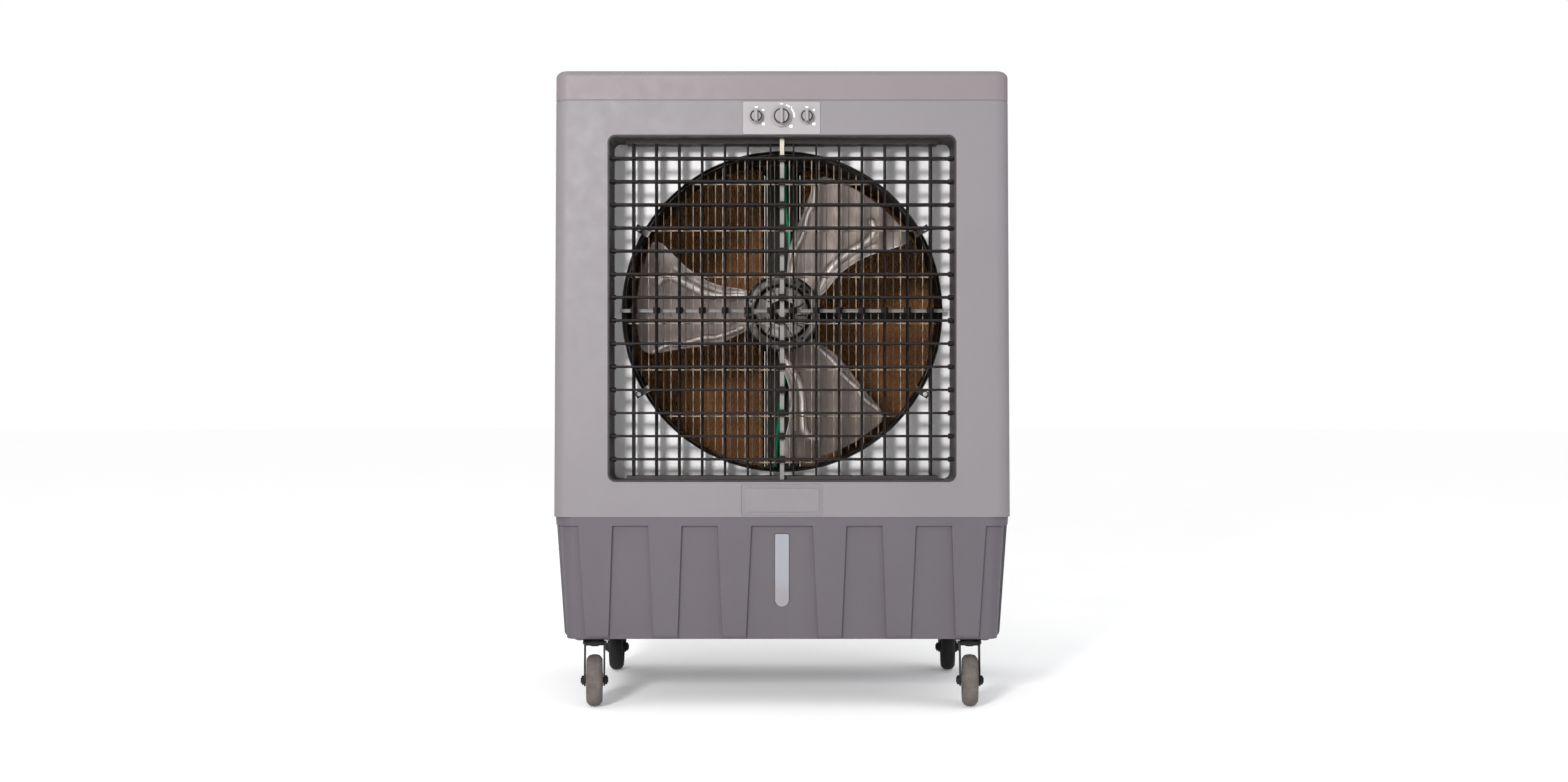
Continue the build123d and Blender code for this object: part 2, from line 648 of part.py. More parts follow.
def knob(place, skirt_r, cap_r):
    """Knob with a skirt, a round cap, an upright grip and a shaft through the panel and wall."""
    x = knob_x(place)
    z = knob_z()
    skirt = rod_y(skirt_r, -PANEL_THICK - 4.3, -PANEL_THICK - GAP, x=x, z=z)
    body = chamfer(skirt.edges().group_by(Axis.Y)[0], 1)
    cap = rod_y(cap_r, -PANEL_THICK - 14, -PANEL_THICK - 4, x=x, z=z)
    body += fillet(cap.edges().group_by(Axis.Y)[0], 2)
    grip = bar(x - 3, x + 3, y_at(-KNOB_REACH), y_at(-PANEL_THICK - 5), z - cap_r + 0.6, z + cap_r - 0.6)
    body += fillet(grip.edges().filter_by(Axis.Z), 1.5)
    body += rod_y(KNOB_SHAFT_R, -PANEL_THICK - 3, 22, x=x, z=z)
    return body


# ---- water side ----
def cooling_pads():
    """Two upright pads, one each side of the rear post."""
    pads = []
    for side in (-1, 1):
        mid = side * PAD_MID_X
        y0 = REAR - GRILLE_DEPTH - 2 - PAD_THICK
        x0 = mid - PAD_HALF_WIDTH + 3
        x1 = mid + PAD_HALF_WIDTH - 3
        pads.append(bar(x0, x1, y0, y0 + PAD_THICK, PAD_LOW - 1, PAD_HIGH - 4))
    return Compound(children=pads)


def rear_grilles():
    """Two framed grilles of sloping slats that fill the rear openings."""
    grilles = []
    rim = GRILLE_RIM
    for side in (-1, 1):
        mid = side * PAD_MID_X
        x0 = mid - PAD_HALF_WIDTH + 1
        x1 = mid + PAD_HALF_WIDTH - 1
        z0 = PAD_LOW + 1
        z1 = PAD_HIGH - 1
        y0 = REAR - GRILLE_DEPTH
        frame = bar(x0, x1, y0, REAR, z0, z1)
        frame -= bar(x0 + rim, x1 - rim, y0 - 1, REAR + 1, z0 + rim, z1 - rim)
        count = int((z1 - z0 - 2 * rim) / SLAT_PITCH)
        first = (z0 + z1) / 2 - (count - 1) / 2 * SLAT_PITCH
        for step in range(count):
            slat = Rot(-SLAT_SLOPE, 0, 0) * Box(x1 - x0 - 2 * rim + 1, 19, 2.5)
            frame += Pos(mid, REAR - GRILLE_DEPTH / 2, first + step * SLAT_PITCH) * slat
        grilles.append(frame)
    return Compound(children=grilles)


def water_distributor():
    """Open trough over the pads, with drip holes in its floor and a hose socket in front."""
    half = side_x(HOUSING_TOP) - WALL - 14
    z0 = PAD_HIGH + 4
    z1 = z0 + TROUGH_HEIGHT
    y0 = y_at(TROUGH_FRONT)
    y1 = y_at(TROUGH_REAR)
    wall = TROUGH_WALL
    trough = bar(-half, half, y0, y1, z0, z1)
    trough -= bar(wall - half, half - wall, y0 + wall, y1 - wall, z0 + wall, z1 + 1)
    trough -= bar(-POST_HALF - 0.5, POST_HALF + 0.5, y_at(POST_BACK - 1), REAR, z0 - 1, z1 + 1)
    bridge_half = POST_HALF + 8
    bridge_top = z0 + 22
    trough += bar(-bridge_half, bridge_half, y_at(POST_BACK - 20), y_at(POST_BACK - 0.5), z0, bridge_top)
    for side in (-1, 1):
        x0 = side * (POST_HALF + 1)
        trough += bar(x0, side * bridge_half, y_at(POST_BACK - 1), y0 + 2, z0, bridge_top)
    for side in (-1, 1):
        for step in range(-7, 8):
            hole_y = y_at((TROUGH_FRONT + TROUGH_REAR) / 2)
            trough -= rod_z(3, z0 - 1, z0 + 5, side * PAD_MID_X + step * 26, hole_y)
    trough -= rod_z(HOSE_R + 0.2, z0 - 1, z0 + 18, HOSE_X, y_at(HOSE_BACK))
    return trough


def hose_points():
    """Route of the hose from the pump's outlet up to the distributor."""
    return [
        (PUMP_OUTLET_X, y_at(PUMP_BACK), PUMP_OUTLET_Z),
        (PUMP_OUTLET_X, y_at(PUMP_BACK), 338),
        (-19, y_at(PUMP_BACK + 1), 500),
        (-5, y_at(PUMP_BACK + 3), 640),
        (10, y_at(PUMP_BACK + 6), 780),
        (17, y_at(PUMP_BACK + 10), 920),
        (15, y_at(PUMP_BACK + 14), 1050),
        (HOSE_X, y_at(HOSE_BACK), 1150),
        (HOSE_X, y_at(HOSE_BACK), PAD_HIGH + 6),
    ]


def water_hose():
    """Hose on straight runs joined by large arcs."""
    points = [Vector(*point) for point in hose_points()]
    radii = []
    for before, here, after in zip(points, points[1:], points[2:]):
        turn = radians((here - before).get_angle(after - here))
        radii.append(0.45 * min((here - before).length, (after - here).length) / tan(turn / 2))
    route = FilletPolyline(*points, radius=radii)
    print("hose radii", [round(radius) for radius in radii])
    start = Plane(origin=route @ 0, z_dir=route % 0)
    return sweep(start * Circle(HOSE_R), path=route)


def pump():
    """Small submersible pump on feet, with its outlet pipe under the hose."""
    y = y_at(PUMP_BACK)
    z = CASTER_HEIGHT + WALL + 1
    body = Pos(0, y, z + 36) * Box(96, 74, 60)
    body = fillet(body.edges().filter_by(Axis.Z), 12)
    body = fillet(body.edges().group_by(Axis.Z)[-1], 5)
    for x in (-34, 34):
        for dy in (-24, 24):
            body += rod_z(7, z, z + 8, x, y + dy)
    body += rod_z(9, z + 60, PUMP_OUTLET_Z, PUMP_OUTLET_X, y)
    return body


# ---- casters ----
def caster_centre(side, end):
    """Swivel axis of a caster."""
    return side * CASTER_X, y_at(DEPTH / 2) + end * (DEPTH / 2 - CASTER_INSET)


def caster_place(side, end, yaw):
    """Location of a caster's own frame, turned about its swivel axis."""
    x, y = caster_centre(side, end)
    return Pos(x, y, 0) * Rot(0, 0, yaw)


def caster_plates():
    """Top plates with their raceways and kingpins."""
    plates = []
    for side, end, _ in CASTERS.values():
        plate = Pos(0, 0, CASTER_HEIGHT - 2) * Box(76, 92, 4)
        plate = fillet(plate.edges().filter_by(Axis.Z), 8)
        plate += rod_z(24, CASTER_HEIGHT - 10, CASTER_HEIGHT - 4, 0, 0)
        plate += rod_z(AXLE_R, CASTER_HEIGHT - 21, CASTER_HEIGHT - 4, 0, 0)
        plate += rod_z(10, CASTER_HEIGHT - 24, CASTER_HEIGHT - 20, 0, 0)
        for dx in (-PLATE_SCREW_X, PLATE_SCREW_X):
            for dy in (-PLATE_SCREW_Y, PLATE_SCREW_Y):
                plate -= rod_z(3.2, CASTER_HEIGHT - 5, CASTER_HEIGHT + 1, dx, dy)
        x, y = caster_centre(side, end)
        plates.append(Pos(x, y, 0) * plate)
    return Compound(children=plates)


def caster_fork():
    """Fork about the swivel axis, with its axle, head and nut."""
    crown_top = CASTER_HEIGHT - 10 - GAP
    leg = WHEEL_WIDTH / 2 + 2
    sheet = FORK_SHEET
    crown = bar(-leg - sheet, leg + sheet, -28, 26, crown_top - 9, crown_top)
    crown = fillet(crown.edges().filter_by(Axis.Z), 7)
    crown += rod_z(26, crown_top - 9, crown_top, 0, 0)
    foot = [(-TRAIL - AXLE_BOSS_R, WHEEL_R), (AXLE_BOSS_R - TRAIL, WHEEL_R)]
    outline = Polygon((-28, crown_top - 1), *foot, (24, crown_top - 9), (24, crown_top - 1), align=None)
    outline += Pos(-TRAIL, WHEEL_R) * Circle(AXLE_BOSS_R)
    for side in (-1, 1):
        plate = extrude(Plane.YZ * outline, amount=sheet)
        crown += Pos(side * (leg + sheet / 2) - sheet / 2, 0, 0) * plate
    crown -= rod_z(AXLE_R + RUNNING, crown_top - 20, crown_top + 1, 0, 0)
    crown += rod_x(AXLE_R, -leg - sheet - 7, leg + sheet + 7, -TRAIL, WHEEL_R)
    for side in (-1, 1):
        nut = Pos(side * (leg + sheet + 2.5), -TRAIL, WHEEL_R) * Rot(0, 90, 0)
        crown += nut * extrude(RegularPolygon(10, 6), amount=2.5, both=True)
    return crown


def caster_wheel():
    """Tyre with rounded shoulders on a wider hub, bored for the axle."""
    rim = Cylinder(WHEEL_R, WHEEL_WIDTH)
    rim = fillet(rim.edges(), 9)
    for side in (-1, 1):
        rim -= Pos(0, 0, side * WHEEL_WIDTH / 2) * (Cylinder(38, 9) - Cylinder(17, 9))
    rim += Cylinder(15, WHEEL_WIDTH + 3)
    rim -= Cylinder(AXLE_R + RUNNING, 2 * WHEEL_WIDTH)
    return Pos(0, -TRAIL, WHEEL_R) * Rot(0, 90, 0) * rim


def casters():
    """Four casters; the forks are turned a little differently."""
    fork = caster_fork()
    wheel = caster_wheel()
    for name, (side, end, yaw) in CASTERS.items():
        place = caster_place(side, end, yaw)
        PARTS[f"caster_fork_{name}"] = place * fork
        PARTS[f"caster_wheel_{name}"] = place * wheel
    PARTS["caster_plates"] = caster_plates()


# ---- fasteners ----
def screw(radius, head_r, length, grip):
    """Pan-head screw along -Z from its seat at the origin; the head stands above it."""
    head = Pos(0, 0, grip / 2) * Cylinder(head_r, grip)
    head = fillet(head.edges().group_by(Axis.Z)[-1], grip * 0.45)
    head -= Pos(0, 0, grip) * Box(head_r * 1.3, 1.0, 1.2)
    return head + Pos(0, 0, -length / 2) * Cylinder(radius, length)


def screws():
    """Guard screws on the shroud and caster screws under the tank."""
    group = []
    for angle in TAB_ANGLES:
        x = TAB_HOLE_REACH * cos(radians(angle))
        z = OUTLET_Z + TAB_HOLE_REACH * sin(radians(angle))
        group.append(Pos(x, y_at(SHROUD_BACK - 2), z) * Rot(90, 0, 0) * screw(2.5, 5, 8, 2.4))
    for side, end, _ in CASTERS.values():
        x, y = caster_centre(side, end)
        for dx in (-PLATE_SCREW_X, PLATE_SCREW_X):
            for dy in (-PLATE_SCREW_Y, PLATE_SCREW_Y):
                seat = Pos(x + dx, y + dy, CASTER_HEIGHT - 4) * Rot(180, 0, 0)
                group.append(seat * screw(3.1, 5.5, 4, 3))
    return Compound(children=group)


def build():
    """Fill PARTS with every node."""
    PARTS["housing_shell"] = housing_shell()
    PARTS["top_cover"] = top_cover()
    PARTS["water_tank"] = water_tank()
    PARTS["level_window"] = level_window()
    PARTS["louver_frame"] = louver_frame()
    louvers()
    PARTS["fan_shroud"] = fan_shroud()
    PARTS["fan_guard"] = fan_guard()
    PARTS["fan_blades"] = fan_blades()
    PARTS["fan_hub"] = fan_hub(PARTS["fan_blades"])
    PARTS["motor"] = motor()
    PARTS["motor_bracket"] = motor_bracket()
    PARTS["control_panel"] = control_panel()
    PARTS["fan_knob"] = knob(-1, *SIDE_KNOB)
    PARTS["swing_knob"] = knob(0, *MIDDLE_KNOB)
    PARTS["pump_knob"] = knob(1, *SIDE_KNOB)
    PARTS["cooling_pads"] = cooling_pads()
    PARTS["rear_grilles"] = rear_grilles()
    PARTS["water_distributor"] = water_distributor()
    PARTS["water_hose"] = water_hose()
    PARTS["pump"] = pump()
    casters()
    PARTS["screws"] = screws()


build()
os.makedirs("parts", exist_ok=True)
for node, shape in PARTS.items():
    shape.label = node
    export_step(shape, f"parts/{node}.step")
print(len(PARTS), "nodes")
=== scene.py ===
"""Looks of a portable evaporative cooler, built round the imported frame.

Everything is in metres, in the frame's own axes: +Z up, +X to the right seen from the front,
and the front faces -Y. Places come from the boxes of the frame's nodes.
"""
import json
import math

import bmesh
import bpy
from mathutils import Matrix, Vector


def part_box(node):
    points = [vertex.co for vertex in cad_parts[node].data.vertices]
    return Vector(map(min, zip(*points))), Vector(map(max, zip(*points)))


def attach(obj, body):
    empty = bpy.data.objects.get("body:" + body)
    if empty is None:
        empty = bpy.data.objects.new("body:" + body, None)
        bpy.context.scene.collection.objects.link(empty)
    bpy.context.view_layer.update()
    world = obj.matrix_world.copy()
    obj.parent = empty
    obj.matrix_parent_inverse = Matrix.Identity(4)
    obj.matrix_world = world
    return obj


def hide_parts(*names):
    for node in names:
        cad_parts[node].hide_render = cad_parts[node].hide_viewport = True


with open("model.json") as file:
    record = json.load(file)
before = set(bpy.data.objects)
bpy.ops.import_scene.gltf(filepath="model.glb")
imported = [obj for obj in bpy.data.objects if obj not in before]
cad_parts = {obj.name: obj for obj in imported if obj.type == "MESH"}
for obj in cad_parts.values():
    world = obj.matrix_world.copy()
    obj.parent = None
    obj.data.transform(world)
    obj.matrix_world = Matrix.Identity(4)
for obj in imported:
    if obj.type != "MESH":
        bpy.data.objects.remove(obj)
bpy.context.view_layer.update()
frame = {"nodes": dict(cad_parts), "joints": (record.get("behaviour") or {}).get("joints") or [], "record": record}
MM = 0.001
CABINET = "cabinet"

# ---- places, from the frame ----
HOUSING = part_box("housing_shell")
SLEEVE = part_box("louver_frame")
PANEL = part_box("control_panel")
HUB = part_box("fan_hub")
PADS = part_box("cooling_pads")
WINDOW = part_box("level_window")

FRONT_Y = HOUSING[0].y
REAR_Y = HOUSING[1].y
OUTLET_Z = (SLEEVE[0].z + SLEEVE[1].z) / 2
FAN_FACE_Y = HUB[0].y + 12 * MM
BARREL_R = 350.5 * MM
GUARD_R = 337 * MM
FAN_R = 333 * MM
SEAM = 34 * MM
TOUCH = 0.01 * MM
WELD = 0.002 * MM
FLAT_ANGLE = 0.6
EDGE_ANGLE = 32


# ---- small helpers ----
def smooth(obj, angle=35):
    """Smooth shading with sharp edges kept above an angle, in degrees."""
    mesh = obj.data
    mesh.polygons.foreach_set("use_smooth", [True] * len(mesh.polygons))
    mesh.set_sharp_from_angle(angle=math.radians(angle))
    return obj


def new_object(name, mesh):
    """Object of that mesh in the scene."""
    obj = bpy.data.objects.new(name, mesh)
    bpy.context.scene.collection.objects.link(obj)
    return obj


def from_bmesh(name, bm, angle=35):
    """Object made of a bmesh, with smooth shading."""
    bmesh.ops.recalc_face_normals(bm, faces=bm.faces)
    mesh = bpy.data.meshes.new(name)
    bm.to_mesh(mesh)
    bm.free()
    return smooth(new_object(name, mesh), angle)


def add_modifier(obj, kind, **values):
    """Modifier with its values set."""
    modifier = obj.modifiers.new(kind.title(), kind)
    for key, value in values.items():
        setattr(modifier, key, value)
    return modifier


def bake_modifiers(obj):
    """Replaces the object's mesh with what its modifiers make."""
    bpy.context.view_layer.update()
    graph = bpy.context.evaluated_depsgraph_get()
    mesh = bpy.data.meshes.new_from_object(obj.evaluated_get(graph))
    obj.modifiers.clear()
    old = obj.data
    obj.data = mesh
    bpy.data.meshes.remove(old)
    return obj


def dress(obj, material, body):
    """Gives a piece its material and its body."""
    obj.data.materials.clear()
    obj.data.materials.append(material)
    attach(obj, body)
    return obj


def paint_node(name, material):
    """Gives a carried-over frame node its material."""
    obj = frame["nodes"][name]
    obj.data.materials.clear()
    obj.data.materials.append(material)
    return obj


def body_of(node):
    """Name of the body that a frame node rides on."""
    for body, members in frame["record"]["behaviour"]["bodies"].items():
        if node in members:
            return body
    raise KeyError(node)


def lies_at(face, y):
    """Whether the whole face lies at that place along Y."""
    return all(abs(vert.co.y - y) < TOUCH for vert in face.verts)


def open_seams(bm):
    """Deletes the faces by which the casing's panels touch, so that they join into one skin."""
    seams = (FRONT_Y + SEAM, REAR_Y - SEAM)
    hidden = [face for face in bm.faces if any(lies_at(face, y) for y in seams)]
    bmesh.ops.delete(bm, geom=hidden, context="FACES")
    bmesh.ops.remove_doubles(bm, verts=bm.verts, dist=2 * TOUCH)


def softened(node, material, width, segments, clean=None):
    """Copy of a frame node with its hard edges rounded, shown in its place."""
    bm = bmesh.new()
    bm.from_mesh(frame["nodes"][node].data)
    bmesh.ops.remove_doubles(bm, verts=bm.verts, dist=WELD)
    if clean:
        clean(bm)
    flat = math.radians(FLAT_ANGLE)
    bmesh.ops.dissolve_limit(bm, angle_limit=flat, verts=bm.verts, edges=bm.edges)
    obj = from_bmesh(node + "_finished", bm)
    add_modifier(obj, "BEVEL", width=width, segments=segments, limit_method="ANGLE",
                 angle_limit=math.radians(EDGE_ANGLE), use_clamp_overlap=True,
                 miter_outer="MITER_ARC")
    add_modifier(obj, "WEIGHTED_NORMAL", mode="FACE_AREA", weight=60, keep_sharp=True)
    bake_modifiers(obj)
    dress(obj, material, body_of(node))
    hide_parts(node)
    return obj


def box_mesh(bm, low, high):
    """Adds a block between two corners."""
    made = bmesh.ops.create_cube(bm, size=1.0)
    centre = (Vector(low) + Vector(high)) / 2
    size = Vector(high) - Vector(low)
    for vert in made["verts"]:
        vert.co = centre + Vector((vert.co.x * size.x, vert.co.y * size.y, vert.co.z * size.z))
    return made["verts"]


def lathe(name, profile, axis="Y", centre=(0, 0, 0), steps=48, angle=35):
    """Solid of revolution. The profile is a list of (radius, place along the axis)."""
    bm = bmesh.new()
    rings = []
    for radius, along in profile:
        if radius < 1e-7:
            rings.append([bm.verts.new((0, 0, along))])
            continue
        ring = []
        for i in range(steps):
            turn = 2 * math.pi * i / steps
            ring.append(bm.verts.new((radius * math.cos(turn), radius * math.sin(turn), along)))
        rings.append(ring)
    for lower, upper in zip(rings, rings[1:]):
        for i in range(steps):
            j = (i + 1) % steps
            corners = [lower[i % len(lower)], lower[j % len(lower)],
                       upper[j % len(upper)], upper[i % len(upper)]]
            corners = list(dict.fromkeys(corners))
            if len(corners) > 2:
                bm.faces.new(corners)
    turn = {"Z": Matrix.Identity(4), "Y": Matrix.Rotation(-math.pi / 2, 4, "X")}
    bmesh.ops.transform(bm, matrix=Matrix.Translation(centre) @ turn[axis], verts=bm.verts)
    return from_bmesh(name, bm, angle)


# ---- materials ----
class Shader:
    """Node tree of one material, with short calls for the nodes used here."""

    # The mix node's sockets that a mix of two colours uses; they share their names with others.
    MIX_FACTOR = 0
    MIX_FIRST = 6
    MIX_SECOND = 7
    MIX_COLOR = 2

    def __init__(self, name):
        self.material = bpy.data.materials.new(name)
        self.material.use_nodes = True
        self.tree = self.material.node_tree
        self.surface = self.tree.nodes["Principled BSDF"]
        self.place = self.add("ShaderNodeTexCoord").outputs["Object"]

    def add(self, kind, settings=None, **inputs):
        """Node of a kind, with its settings and its inputs: values, or outputs to link."""
        made = self.tree.nodes.new(kind)
        for key, value in (settings or {}).items():
            setattr(made, key, value)
        for key, value in inputs.items():
            self.feed(made.inputs[key.replace("_", " ")], value)
        return made

    def feed(self, socket, value):
        """Links an output to a socket, or sets the socket's value."""
        if isinstance(value, bpy.types.NodeSocket):
            self.tree.links.new(value, socket)
        else:
            socket.default_value = value

    def stretched(self, scale):
        """Object coordinates stretched by a factor for each axis."""
        return self.add("ShaderNodeMapping", None, Vector=self.place, Scale=scale).outputs["Vector"]

    def noise(self, scale, detail=3.0, rough=0.55, place=None):
        """Value of a noise texture."""
        made = self.add("ShaderNodeTexNoise", None, Vector=place or self.place, Scale=scale,
                        Detail=detail, Roughness=rough)
        return made.outputs["Fac"]

    def ramp(self, value, low, high, first=0.0, last=1.0):
        """Value carried from one range to another, with its ends held."""
        made = self.add("ShaderNodeMapRange", {"clamp": True}, Value=value)
        made.inputs["From Min"].default_value = low
        made.inputs["From Max"].default_value = high
        made.inputs["To Min"].default_value = first
        made.inputs["To Max"].default_value = last
        return made.outputs["Result"]

    def mix(self, factor, first, second):
        """Colour between two colours."""
        made = self.add("ShaderNodeMix", {"data_type": "RGBA"})
        self.feed(made.inputs[self.MIX_FACTOR], factor)
        for place, color in ((self.MIX_FIRST, first), (self.MIX_SECOND, second)):
            linked = isinstance(color, bpy.types.NodeSocket)
            self.feed(made.inputs[place], color if linked else (*color, 1.0))
        return made.outputs[self.MIX_COLOR]

    def maths(self, kind, first, second=0.0):
        """Result of a sum on one or two values."""
        made = self.add("ShaderNodeMath", {"operation": kind})
        self.feed(made.inputs[0], first)
        self.feed(made.inputs[1], second)
        return made.outputs[0]

    def axis(self, name, source=None):
        """One coordinate of the place, or of another vector."""
        parts = self.add("ShaderNodeSeparateXYZ", None, Vector=source or self.place)
        return parts.outputs[name]

    def normal_z(self):
        """How far a face looks up."""
        return self.axis("Z", self.add("ShaderNodeNewGeometry").outputs["Normal"])

    def bump(self, height, strength, distance):
        """Feeds a height into the surface's normal."""
        made = self.add("ShaderNodeBump", None, Height=height, Strength=strength, Distance=distance)
        self.feed(self.surface.inputs["Normal"], made.outputs["Normal"])

    def finish(self, color, rough, **fixed):
        """Feeds colour and roughness, and sets the fixed inputs on the shader's own sockets."""
        self.feed(self.surface.inputs["Base Color"], color)
        self.feed(self.surface.inputs["Roughness"], rough)
        for key, value in fixed.items():
            self.surface.inputs[key.replace("_", " ")].default_value = value
        return self.material


def srgb(red, green, blue):
    """Linear colour of an sRGB colour given in 0 to 255."""
    def line(value):
        value /= 255
        return value / 12.92 if value <= 0.04045 else ((value + 0.055) / 1.055) ** 2.4
    return (line(red), line(green), line(blue))


def shade(color, factor):
    """Colour made lighter or darker."""
    return tuple(min(1.0, channel * factor) for channel in color)


def moulded_plastic(name, color, rough=0.5, streaks=0.0, dust=0.0, grain=700, spread=0.07,
                    level=0.5, paint=None):
    """Moulded polyethylene: faint clouds, fine speckle and grain, with streaks and dust if asked."""
    s = Shader(name)
    clouds = s.ramp(s.noise(3.0, 4.0, 0.6), 0.3, 0.7)
    tone = s.mix(clouds, shade(color, 1 - spread), shade(color, 1 + spread))
    speckle = s.ramp(s.noise(grain, 2.0, 0.7), 0.35, 0.65)
    tone = s.mix(s.maths("MULTIPLY", speckle, 0.10), tone, shade(color, 0.72))
    if streaks:
        runs = s.ramp(s.noise(14.0, 5.0, 0.65, s.stretched((1.0, 1.0, 0.08))), 0.52, 0.78)
        tone = s.mix(s.maths("MULTIPLY", runs, streaks), tone, shade(color, 1.22))
        marks = s.ramp(s.noise(60.0, 6.0, 0.7, s.stretched((0.5, 0.5, 1.6))), 0.62, 0.8)
        tone = s.mix(s.maths("MULTIPLY", marks, streaks * 0.8), tone, shade(color, 0.74))
    if dust:
        lies = s.ramp(s.normal_z(), 0.35, 0.95)
        patch = s.ramp(s.noise(24.0, 5.0, 0.65), 0.3, 0.75)
        lift = tuple(min(1.0, channel * 1.5 + 0.05) for channel in color)
        tone = s.mix(s.maths("MULTIPLY", s.maths("MULTIPLY", lies, patch), dust), tone, lift)
    if paint:
        tone = paint(s, tone)
    grain_height = s.noise(grain * 1.7, 3.0, 0.6)
    wave = s.noise(9.0, 2.0, 0.5)
    height = s.maths("ADD", s.maths("MULTIPLY", grain_height, 0.35), wave)
    s.bump(height, 0.22, 0.0012)
    rough_map = s.ramp(s.noise(36.0, 4.0, 0.6), 0.3, 0.7, rough - 0.07, rough + 0.09)
    return s.finish(tone, rough_map, IOR=1.49, Specular_IOR_Level=level)


def brushed_metal(name, color, rough, metallic, across, stain, paint=None, level=0.5):
    """Sheet metal with fine brushed lines, clouds of wear and a stain in patches."""
    s = Shader(name)
    lines = s.noise(18.0, 4.0, 0.7, s.stretched(across))
    clouds = s.ramp(s.noise(16.0, 4.0, 0.6), 0.35, 0.7)
    tone = s.mix(s.ramp(lines, 0.3, 0.7), shade(color, 0.86), shade(color, 1.1))
    tone = s.mix(s.maths("MULTIPLY", clouds, 0.35), tone, stain)
    if paint:
        tone = paint(s, tone)
    s.bump(lines, 0.15, 0.0004)
    rough_map = s.ramp(s.noise(40.0, 3.0, 0.6), 0.3, 0.7, rough - 0.08, rough + 0.12)
    return s.finish(tone, rough_map, Metallic=metallic, Specular_IOR_Level=level)


def axle_distance(s, centre_x, centre_z):
    """Distance of a place from a line along Y."""
    across = s.maths("SUBTRACT", s.axis("X"), centre_x)
    rise = s.maths("SUBTRACT", s.axis("Z"), centre_z)
    squares = s.maths("ADD", s.maths("MULTIPLY", across, across), s.maths("MULTIPLY", rise, rise))
    return s.maths("SQRT", squares)


def black_barrel(s, tone):
    """Shroud paint: the barrel behind the orifice's edge is black."""
    far = s.ramp(axle_distance(s, 0.0, OUTLET_Z), BARREL_R - 0.6 * MM, BARREL_R + 0.6 * MM)
    return s.mix(far, srgb(14, 12, 12), tone)


def dark_rim(s, tone):
    """Guard wire: the ring and the wires' ends in the barrel are dark."""
    far = s.ramp(axle_distance(s, 0.0, OUTLET_Z), GUARD_R - 3 * MM, GUARD_R + 3 * MM)
    return s.mix(far, tone, srgb(16, 14, 14))


def hub_zones(s, tone):
    """Hub plate: pale inside the ring, nearly black outside it."""
    reach = axle_distance(s, 0.0, OUTLET_Z)
    return s.mix(s.ramp(reach, 60 * MM, 62 * MM), tone, srgb(74, 70, 70))


def painted_plenum_shade(s, tone):
    """Casing plastic: painted shade in the plenum, behind the skin, where the inside of the casing lies in shadow.
    """
    wide = HOUSING[1].x - 9 * MM
    reach = s.maths("SUBTRACT", wide, s.maths("ABSOLUTE", s.axis("X")))
    front = s.maths("SUBTRACT", s.axis("Y"), FRONT_Y + 12 * MM)
    rear = s.maths("MULTIPLY", s.maths("SUBTRACT", REAR_Y - 2.5 * MM, s.axis("Y")), 4.0)
    roof = s.maths("SUBTRACT", HOUSING[1].z - 9 * MM, s.axis("Z"))
    depth = s.maths("MINIMUM", s.maths("MINIMUM", reach, front), s.maths("MINIMUM", rear, roof))
    return s.mix(s.ramp(depth, 0.0, 6 * MM), tone, srgb(34, 31, 31))


def cream_end(s, tone):
    """Link plastic: the upright bar is cream at its upper end."""
    rise = s.ramp(s.axis("Z"), OUTLET_Z + 300 * MM, OUTLET_Z + 330 * MM)
    return s.mix(rise, tone, srgb(186, 178, 162))


def painted_crest_highlight(s, tone):
    """Blade metal: painted highlight along the embossed beads and the curled edge."""
    crest = s.add("ShaderNodeAttribute", {"attribute_name": "crest"}).outputs["Fac"]
    return s.mix(s.ramp(crest, 0.2, 0.8), tone, srgb(252, 242, 236))


def rubber(name, color, rough, dirt):
    """Rubber with fine pits and dirt in clouds."""
    s = Shader(name)
    pits = s.noise(520.0, 3.0, 0.7)
    clouds = s.ramp(s.noise(38.0, 5.0, 0.65), 0.35, 0.7)
    tone = s.mix(clouds, color, dirt)
    tone = s.mix(s.maths("MULTIPLY", s.ramp(pits, 0.4, 0.7), 0.4), tone, shade(color, 0.5))
    s.bump(pits, 0.5, 0.0006)
    return s.finish(tone, s.ramp(clouds, 0.0, 1.0, rough - 0.08, rough + 0.1), Specular_IOR_Level=0.3)


def pad_paper(name):
    """Kraft paper of the cooling pad: brown, with damp patches and pale mineral specks."""
    s = Shader(name)
    damp = s.ramp(s.noise(5.0, 4.0, 0.6), 0.38, 0.66)
    tone = s.mix(damp, srgb(176, 126, 84), srgb(140, 98, 64))
    fibre = s.noise(260.0, 4.0, 0.7, s.stretched((1.0, 1.0, 0.35)))
    tone = s.mix(s.maths("MULTIPLY", s.ramp(fibre, 0.45, 0.75), 0.35), tone, srgb(200, 160, 116))
    specks = s.ramp(s.noise(150.0, 3.0, 0.7), 0.62, 0.74)
    tone = s.mix(s.maths("MULTIPLY", specks, 0.5), tone, srgb(214, 184, 146))
    s.bump(fibre, 0.5, 0.0008)
    return s.finish(tone, s.ramp(damp, 0.0, 1.0, 0.9, 0.75), Specular_IOR_Level=0.2)


def hose_plastic(name):
    """Green hose with faint braid lines."""
    s = Shader(name)
    braid = s.add("ShaderNodeTexWave", {"wave_type": "BANDS", "bands_direction": "DIAGONAL"},
                  Vector=s.place, Scale=90.0, Distortion=1.5).outputs["Fac"]
    tone = s.mix(s.ramp(braid, 0.3, 0.8), srgb(10, 140, 100), srgb(24, 168, 120))
    tone = s.mix(s.maths("MULTIPLY", s.ramp(s.noise(30.0), 0.5, 0.8), 0.3), tone, srgb(8, 96, 72))
    s.bump(braid, 0.15, 0.0004)
    rough_map = s.ramp(s.noise(50.0), 0.3, 0.7, 0.26, 0.42)
    return s.finish(tone, rough_map, IOR=1.5, Specular_IOR_Level=0.3)


